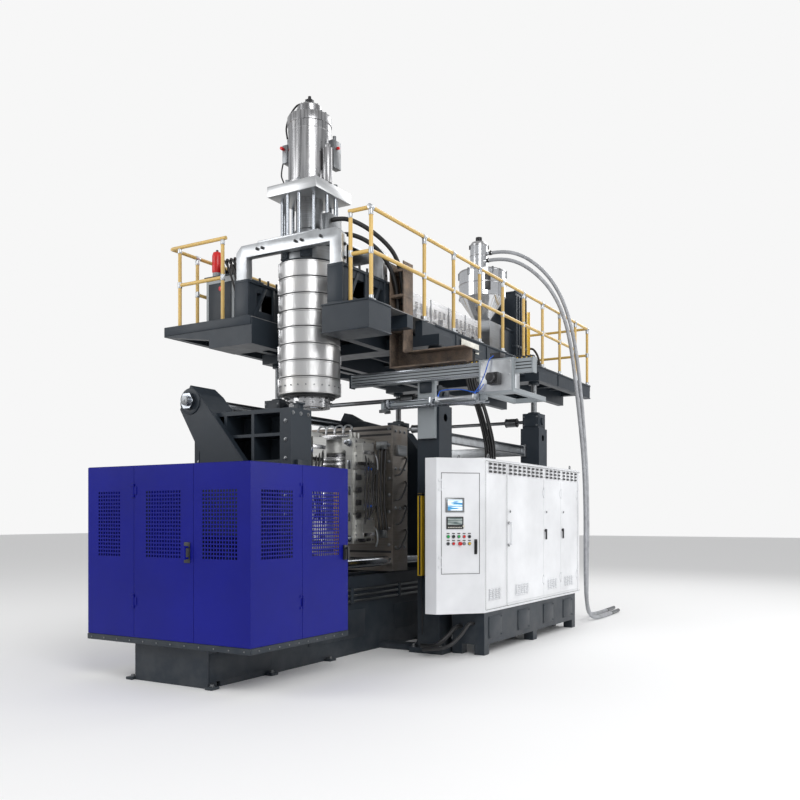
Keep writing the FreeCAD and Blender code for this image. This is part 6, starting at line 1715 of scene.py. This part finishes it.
    def _hopper(self) -> None:
        """Rims, sight glass and clamps of the feed hopper."""
        rims, glass, clips = Solid(), Solid(), Solid()
        place = (0, 4.41, 0)
        for z, radius in ((5.232, 0.357), (4.838, 0.357), (5.04, 0.357)):
            rims.lathe(place,
                       [(radius - 0.002, z - 0.006), (radius + 0.008, z - 0.006), (radius + 0.008, z + 0.006),
                               (radius - 0.002, z + 0.006)], 72, closed=True)
        rims.lathe(place, [(0.091, 4.45), (0.15, 4.45), (0.15, 4.466), (0.104, 4.466)], 48, closed=True)
        rims.lathe(place, [(0.02, 5.24), (0.362, 5.24), (0.362, 5.246), (0.06, 5.262), (0.02, 5.262)], 72,
                   closed=True)
        rims.piece("hopper_rims", Finish.STAINLESS, PLATFORM, 0.001)
        turn = Matrix.Translation(place) @ Matrix.Rotation(math.radians(-52), 4, "Z")
        glass.box((0.352, -0.045, 4.90), (0.362, 0.045, 5.17), turn)
        glass.piece("hopper_sight_glass", Finish.BLACK, PLATFORM, 0.002)
        for k in range(6):
            turn = Matrix.Translation(place) @ Matrix.Rotation(math.radians(60 * k + 20), 4, "Z")
            clips.box((0.357, -0.014, 5.15), (0.375, 0.014, 5.25), turn)
            clips.box((0.345, -0.01, 5.245), (0.375, 0.01, 5.256), turn)
        clips.piece("hopper_clips", Finish.STEEL, PLATFORM, 0.001)

    def _loader(self) -> None:
        """Lid, filter cap, motor and hose clamps of the vacuum loader."""
        place = (-0.06, 4.41, 0)
        bright, black = Solid(), Solid()
        bright.lathe(place,
                     [(0.02, 5.66), (0.141, 5.66), (0.141, 5.678), (0.11, 5.72), (0.05, 5.74), (0.02, 5.74)],
                     48, closed=True)
        for z in (5.31, 5.50, 5.655):
            bright.lathe(place, [(0.133, z), (0.142, z), (0.142, z + 0.012), (0.133, z + 0.012)], 48,
                         closed=True)
        bright.lathe(place, [(0.08, 5.26), (0.105, 5.26), (0.137, 5.30), (0.08, 5.30)], 48, closed=True)
        bright.piece("loader_rims", Finish.STAINLESS, PLATFORM, 0.001)
        black.bar((-0.06, 4.41, 5.74), (-0.06, 4.41, 5.80), 0.05, 24)
        for y, z in ((4.36, 5.41), (4.46, 5.55)):
            black.bar((0.098, y, z), (0.135, y, z), 0.031, 24)
            black.box((0.11, y - 0.006, z + 0.028), (0.124, y + 0.006, z + 0.044))
        for turn in (0.5, 3.6):
            spin = Matrix.Translation(place) @ Matrix.Rotation(turn, 4, "Z")
            black.box((0.134, -0.012, 5.62), (0.152, 0.012, 5.68), spin)
        black.piece("loader_cap", Finish.BLACK, PLATFORM, 0.0015)


# ------------------------------------------------------------------ take-out
@dataclass
class TakeOut:
    """Linear axes, drag chain, motor and gripper of the take-out unit."""

    body: str = "takeout_carriage"

    def build(self) -> None:
        """Make the take-out's fixed and moving details."""
        groove_shade, rails, ends, chain, dots = Solid(), Solid(), Solid(), Solid(), Solid()
        # Thin black strips along the beam are painted shade in its grooves.
        for z in (3.018, 3.05, 3.082):
            groove_shade.box((0.19, 0.5588, z - 0.005), (2.38, 0.5602, z + 0.005))
        groove_shade.piece("beam_groove_shade", Finish.BLACK, FRAME, 0)
        for z in (2.992, 3.108):
            rails.box((0.18, 0.553, z - 0.009), (1.79, 0.560, z + 0.009))
        rails.box((0.18, 0.572, 3.12), (2.39, 0.628, 3.126))
        rails.piece("beam_rails", Finish.BAR, FRAME, 0.001)
        ends.box((0.152, 0.55, 2.97), (0.170, 0.65, 3.13))
        ends.box((1.04, 0.62, 2.86), (1.18, 0.685, 2.98))
        ends.piece("beam_ends", Finish.DARK, FRAME, 0.002)
        for k in range(26):
            x = 1.02 + 0.052 * k
            chain.box((x, 0.652, 3.126), (x + 0.044, 0.70, 3.165))
            dots.box((x + 0.014, 0.6505, 3.140), (x + 0.030, 0.6525, 3.152))
        chain.piece("drag_chain", Finish.BLACK, FRAME, 0.003)
        dots.piece("chain_clips", Finish.YELLOW, FRAME, 0)
        self._carriage()
        self._tray()

    def _carriage(self) -> None:
        """Servo motor, face plates, air cylinder and rods of the carriage."""
        plates, motor, cylinder, bars, blue = Solid(), Solid(), Solid(), Solid(), Solid()
        plates.box((1.83, 0.512, 2.80), (2.18, 0.516, 3.12))
        plates.bolts([(x, 0.512, z) for x in (1.85, 2.16) for z in (2.82, 2.96, 3.10)], "-Y", 0.008, 0.008)
        plates.box((2.20, 0.55, 2.82), (2.206, 0.66, 3.10))
        plates.piece("carriage_plates", Finish.GALVANISED, self.body, 0.0015)
        motor.box((1.93, 0.53, 3.136), (2.05, 0.65, 3.20))
        motor.box((1.95, 0.41, 2.86), (2.07, 0.512, 2.98))
        motor.bar((2.01, 0.41, 2.92), (2.01, 0.34, 2.92), 0.045, 32)
        motor.piece("carriage_motor", Finish.BLACK, self.body, 0.003)
        for y in (0.50, 0.60):
            bars.bar((0.66, y, 2.706), (1.89, y, 2.706), 0.012, 20)
        bars.bar((0.70, 0.55, 2.775), (1.83, 0.55, 2.775), 0.010, 16)
        for x in (0.70, 1.25, 1.80):
            bars.box((x - 0.02, 0.485, 2.695), (x + 0.02, 0.615, 2.79))
        bars.piece("gripper_bars", Finish.BAR, self.body, 0.001)
        cylinder.bar((1.35, 0.475, 2.75), (1.78, 0.475, 2.75), 0.025, 24)
        cylinder.box((1.33, 0.445, 2.72), (1.36, 0.505, 2.78))
        cylinder.box((1.77, 0.445, 2.72), (1.80, 0.505, 2.78))
        cylinder.piece("gripper_cylinder", Finish.GALVANISED, self.body, 0.002)
        for x in (1.35, 1.785):
            blue.bar((x, 0.475, 2.78), (x, 0.475, 2.80), 0.009, 12)
        blue.bent([(1.785, 0.475, 2.80), (1.84, 0.47, 2.86), (1.90, 0.47, 2.98), (1.94, 0.49, 3.12),
                   (1.97, 0.53, 3.17)], 0.005, 8)
        blue.bent([(1.35, 0.475, 2.80), (1.40, 0.47, 2.845), (1.62, 0.47, 2.84), (1.80, 0.475, 2.80),
                   (1.88, 0.49, 2.88)], 0.005, 8)
        blue.piece("gripper_air_lines", Finish.TUBE_BLUE, self.body, 0)
        jaw = Solid()
        jaw.box((0.60, 0.48, 2.655), (0.675, 0.50, 2.69))
        jaw.box((0.60, 0.59, 2.655), (0.675, 0.61, 2.69))
        jaw.box((0.612, 0.46, 2.77), (0.664, 0.64, 2.79))
        jaw.piece("gripper_jaws", Finish.STEEL, self.body, 0.002)

    def _tray(self) -> None:
        """Rolled lips and splice plates on the rusty cable tray."""
        lips = Solid()
        for y in (0.497, 0.692):
            low, high = y - 0.003, y + 0.003
            lips.box((0.728, low, 3.14), (0.742, high, 4.312))
            lips.box((0.898, low, 3.31), (0.912, high, 4.312))
            lips.box((0.742, low, 3.14), (1.652, high, 3.156))
            lips.box((0.912, low, 3.298), (1.652, high, 3.312))
        for z in (3.55, 3.92, 4.2):
            lips.box((0.727, 0.4955, z), (0.913, 0.6945, z + 0.03))
        lips.piece("tray_lips", Finish.RUST, PLATFORM, 0.001)


# ------------------------------------------------------------------ hoses and cables
def spline_rings(route: Sequence[Point], spacing: float) -> list[Vector]:
    """Evenly spaced points of the quadratic spline that a route controls."""
    spots = [Vector(p) for p in route]
    joints = [spots[0]] + [(a + b) / 2 for a, b in zip(spots[1:], spots[2:-1])] + [spots[-1]]
    dense, fine = [spots[0]], 60
    for a, c, b in zip(joints, spots[1:-1], joints[1:]):
        for i in range(1, fine + 1):
            u = i / fine
            dense.append(a * (1 - u) ** 2 + c * 2 * u * (1 - u) + b * u ** 2)
    rings, gone = [dense[0]], 0.0
    for here, there in zip(dense, dense[1:]):
        gone += (there - here).length
        if gone >= spacing:
            rings.append(there)
            gone = 0.0
    if (rings[-1] - dense[-1]).length > spacing / 4:
        rings.append(dense[-1])
    return rings


def path_length(rings: Sequence[Vector]) -> float:
    """Length along points, in metres."""
    return round(sum((b - a).length for a, b in zip(rings, rings[1:])), 4)


@dataclass
class Hose:
    """A free hose: its route, bore and where it ends.

    Attributes:
        bend: heights given for its run from the frame to the platform; only whether it is given is read, and then
            the hose rides on no body.
    """

    name: str
    route: list[tuple[float, float, float]]
    diameter: float
    finish: Finish
    far_end: str
    ribs: float = 0.0
    bend: Optional[tuple[float, float]] = None

    def build(self, with_pieces: Sequence[bpy.types.Object] = ()) -> bpy.types.Object:
        """Make the hose as a ringed tube on its route."""
        rings = spline_rings(self.route, 0.007 if self.ribs else 0.03)
        tube = Solid().sweep(rings, self.diameter / 2, 14, self.ribs)
        body = None if self.bend else PLATFORM
        thing = tube.piece(f"{self.name}_line", self.finish, body, 0, 60, (self.name,))
        if self.bend:
            x, y, _ = self.route[len(self.route) // 2]
            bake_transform(thing)
        length = path_length(rings)
        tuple(self.route[0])
        list(with_pieces)
        log.info("%s is %.2f m long", self.name, length)
        return thing


def metres(*route: tuple[float, float, float]) -> list[tuple[float, float, float]]:
    """A route given in millimetres, in metres."""
    return [(x / 1000, y / 1000, z / 1000) for x, y, z in route]


@dataclass
class Hoses:
    """The loader's suction hoses, the head's hydraulic hoses and the hanging cables."""

    sag: tuple[float, float] = (0.5, 3.3)

    def build(self) -> None:
        """Make the four free hoses, collars for their lances and the cable bundle."""
        first = metres(
            (145, 4360, 5410), (330, 4360, 5410), (600, 4420, 5330), (860, 4500, 5130), (1080, 4580, 4850),
            (1240, 4660, 4450), (1330, 4700, 3950), (1400, 4690, 3400), (1480, 4640, 2850),
            (1560, 4560, 2280), (1610, 4480, 1700), (1640, 4400, 1130), (1660, 4340, 620),
            (1680, 4330, 260), (1700, 4450, 60), (1725, 4720, 29), (1735, 5060, 29), (1715, 5400, 29))
        second = metres(
            (145, 4460, 5550), (350, 4460, 5550), (640, 4560, 5450), (920, 4680, 5200), (1120, 4790, 4860),
            (1250, 4880, 4420), (1330, 4930, 3900), (1390, 4930, 3350), (1450, 4890, 2780),
            (1510, 4830, 2200), (1550, 4760, 1620), (1570, 4700, 1060), (1570, 4660, 560),
            (1560, 4690, 220), (1545, 4840, 50), (1535, 5120, 29), (1545, 5450, 29), (1530, 5760, 29))
        for number, route in enumerate((first, second), start=1):
            collar = self._collar(number, route[-2], route[-1])
            Hose(f"loader_hose_{number}", route, 0.054, Finish.HOSE, "connector", 0.035,
                 self.sag).build([collar])
        Hose("head_hose_upper", metres(
            (345, -60, 4690), (440, -60, 4690), (550, -30, 4670), (650, 50, 4620), (730, 160, 4555),
            (790, 290, 4480), (832, 410, 4390), (845, 500, 4280), (842, 560, 4150), (846, 588, 4010),
            (842, 596, 3860)), 0.048, Finish.RUBBER, "object").build()
        Hose("head_hose_lower", metres(
            (345, 60, 4560), (430, 60, 4560), (525, 95, 4540), (620, 160, 4495), (695, 245, 4430),
            (745, 340, 4345), (768, 435, 4245), (778, 515, 4135), (776, 568, 4005), (779, 590, 3865),
            (776, 594, 3725)), 0.048, Finish.RUBBER, "object").build()
        self._cables()

    def _collar(self, number: int, before: Point, end: Point) -> bpy.types.Object:
        """Clamp where a loader hose meets its suction lance."""
        along = (Vector(end) - Vector(before)).normalized()
        foot = Vector(end)
        collar = Solid()
        collar.bar(foot - along * 0.05, foot + along * 0.015, 0.0275, 24)
        collar.bar(foot - along * 0.035, foot - along * 0.02, 0.0287, 24)
        return collar.piece(f"hose_collar_{number}", Finish.BLACK, FRAME, 0.001)

    def _cables(self) -> None:
        """Eight cables from the platform's bracket down to the cabinet."""
        bundle = Solid()
        for i in range(8):
            x, y = 1.29 + 0.026 * (i % 4), 1.56 + 0.055 * (i // 4) + 0.012 * (i % 4)
            wander = 0.012 * math.sin(i * 2.3)
            bundle.bent([(x - 0.16, y, 3.47), (x - 0.16, y + wander, 3.28), (x - 0.13, y + 0.012, 3.06),
                         (x - 0.03, y + 0.035 + wander, 2.78), (x + 0.035, y + 0.07, 2.5),
                         (x + 0.058, y + 0.1, 2.3), (x + 0.058, y + 0.1, 2.127)], 0.0115, 10, 8)
        thing = bundle.piece("cable_bundle_lines", Finish.RUBBER, None, 0, 60, ("cable_bundle",))
        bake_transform(thing)


def main() -> None:
    """Dress the frame's nodes, then build every sub-assembly in order."""
    logging.basicConfig(level=logging.INFO, format="%(name)s: %(message)s")
    Studio().build()
    Hoses().build()
    dress_plain_nodes()
    for assembly in (Guard(), Clamp(), Columns(), Cabinet(), Head(), Platform(), Extruder(), TakeOut()):
        log.info("building %s", type(assembly).__name__)
        assembly.build()


if __name__ == "__main__":
    main()
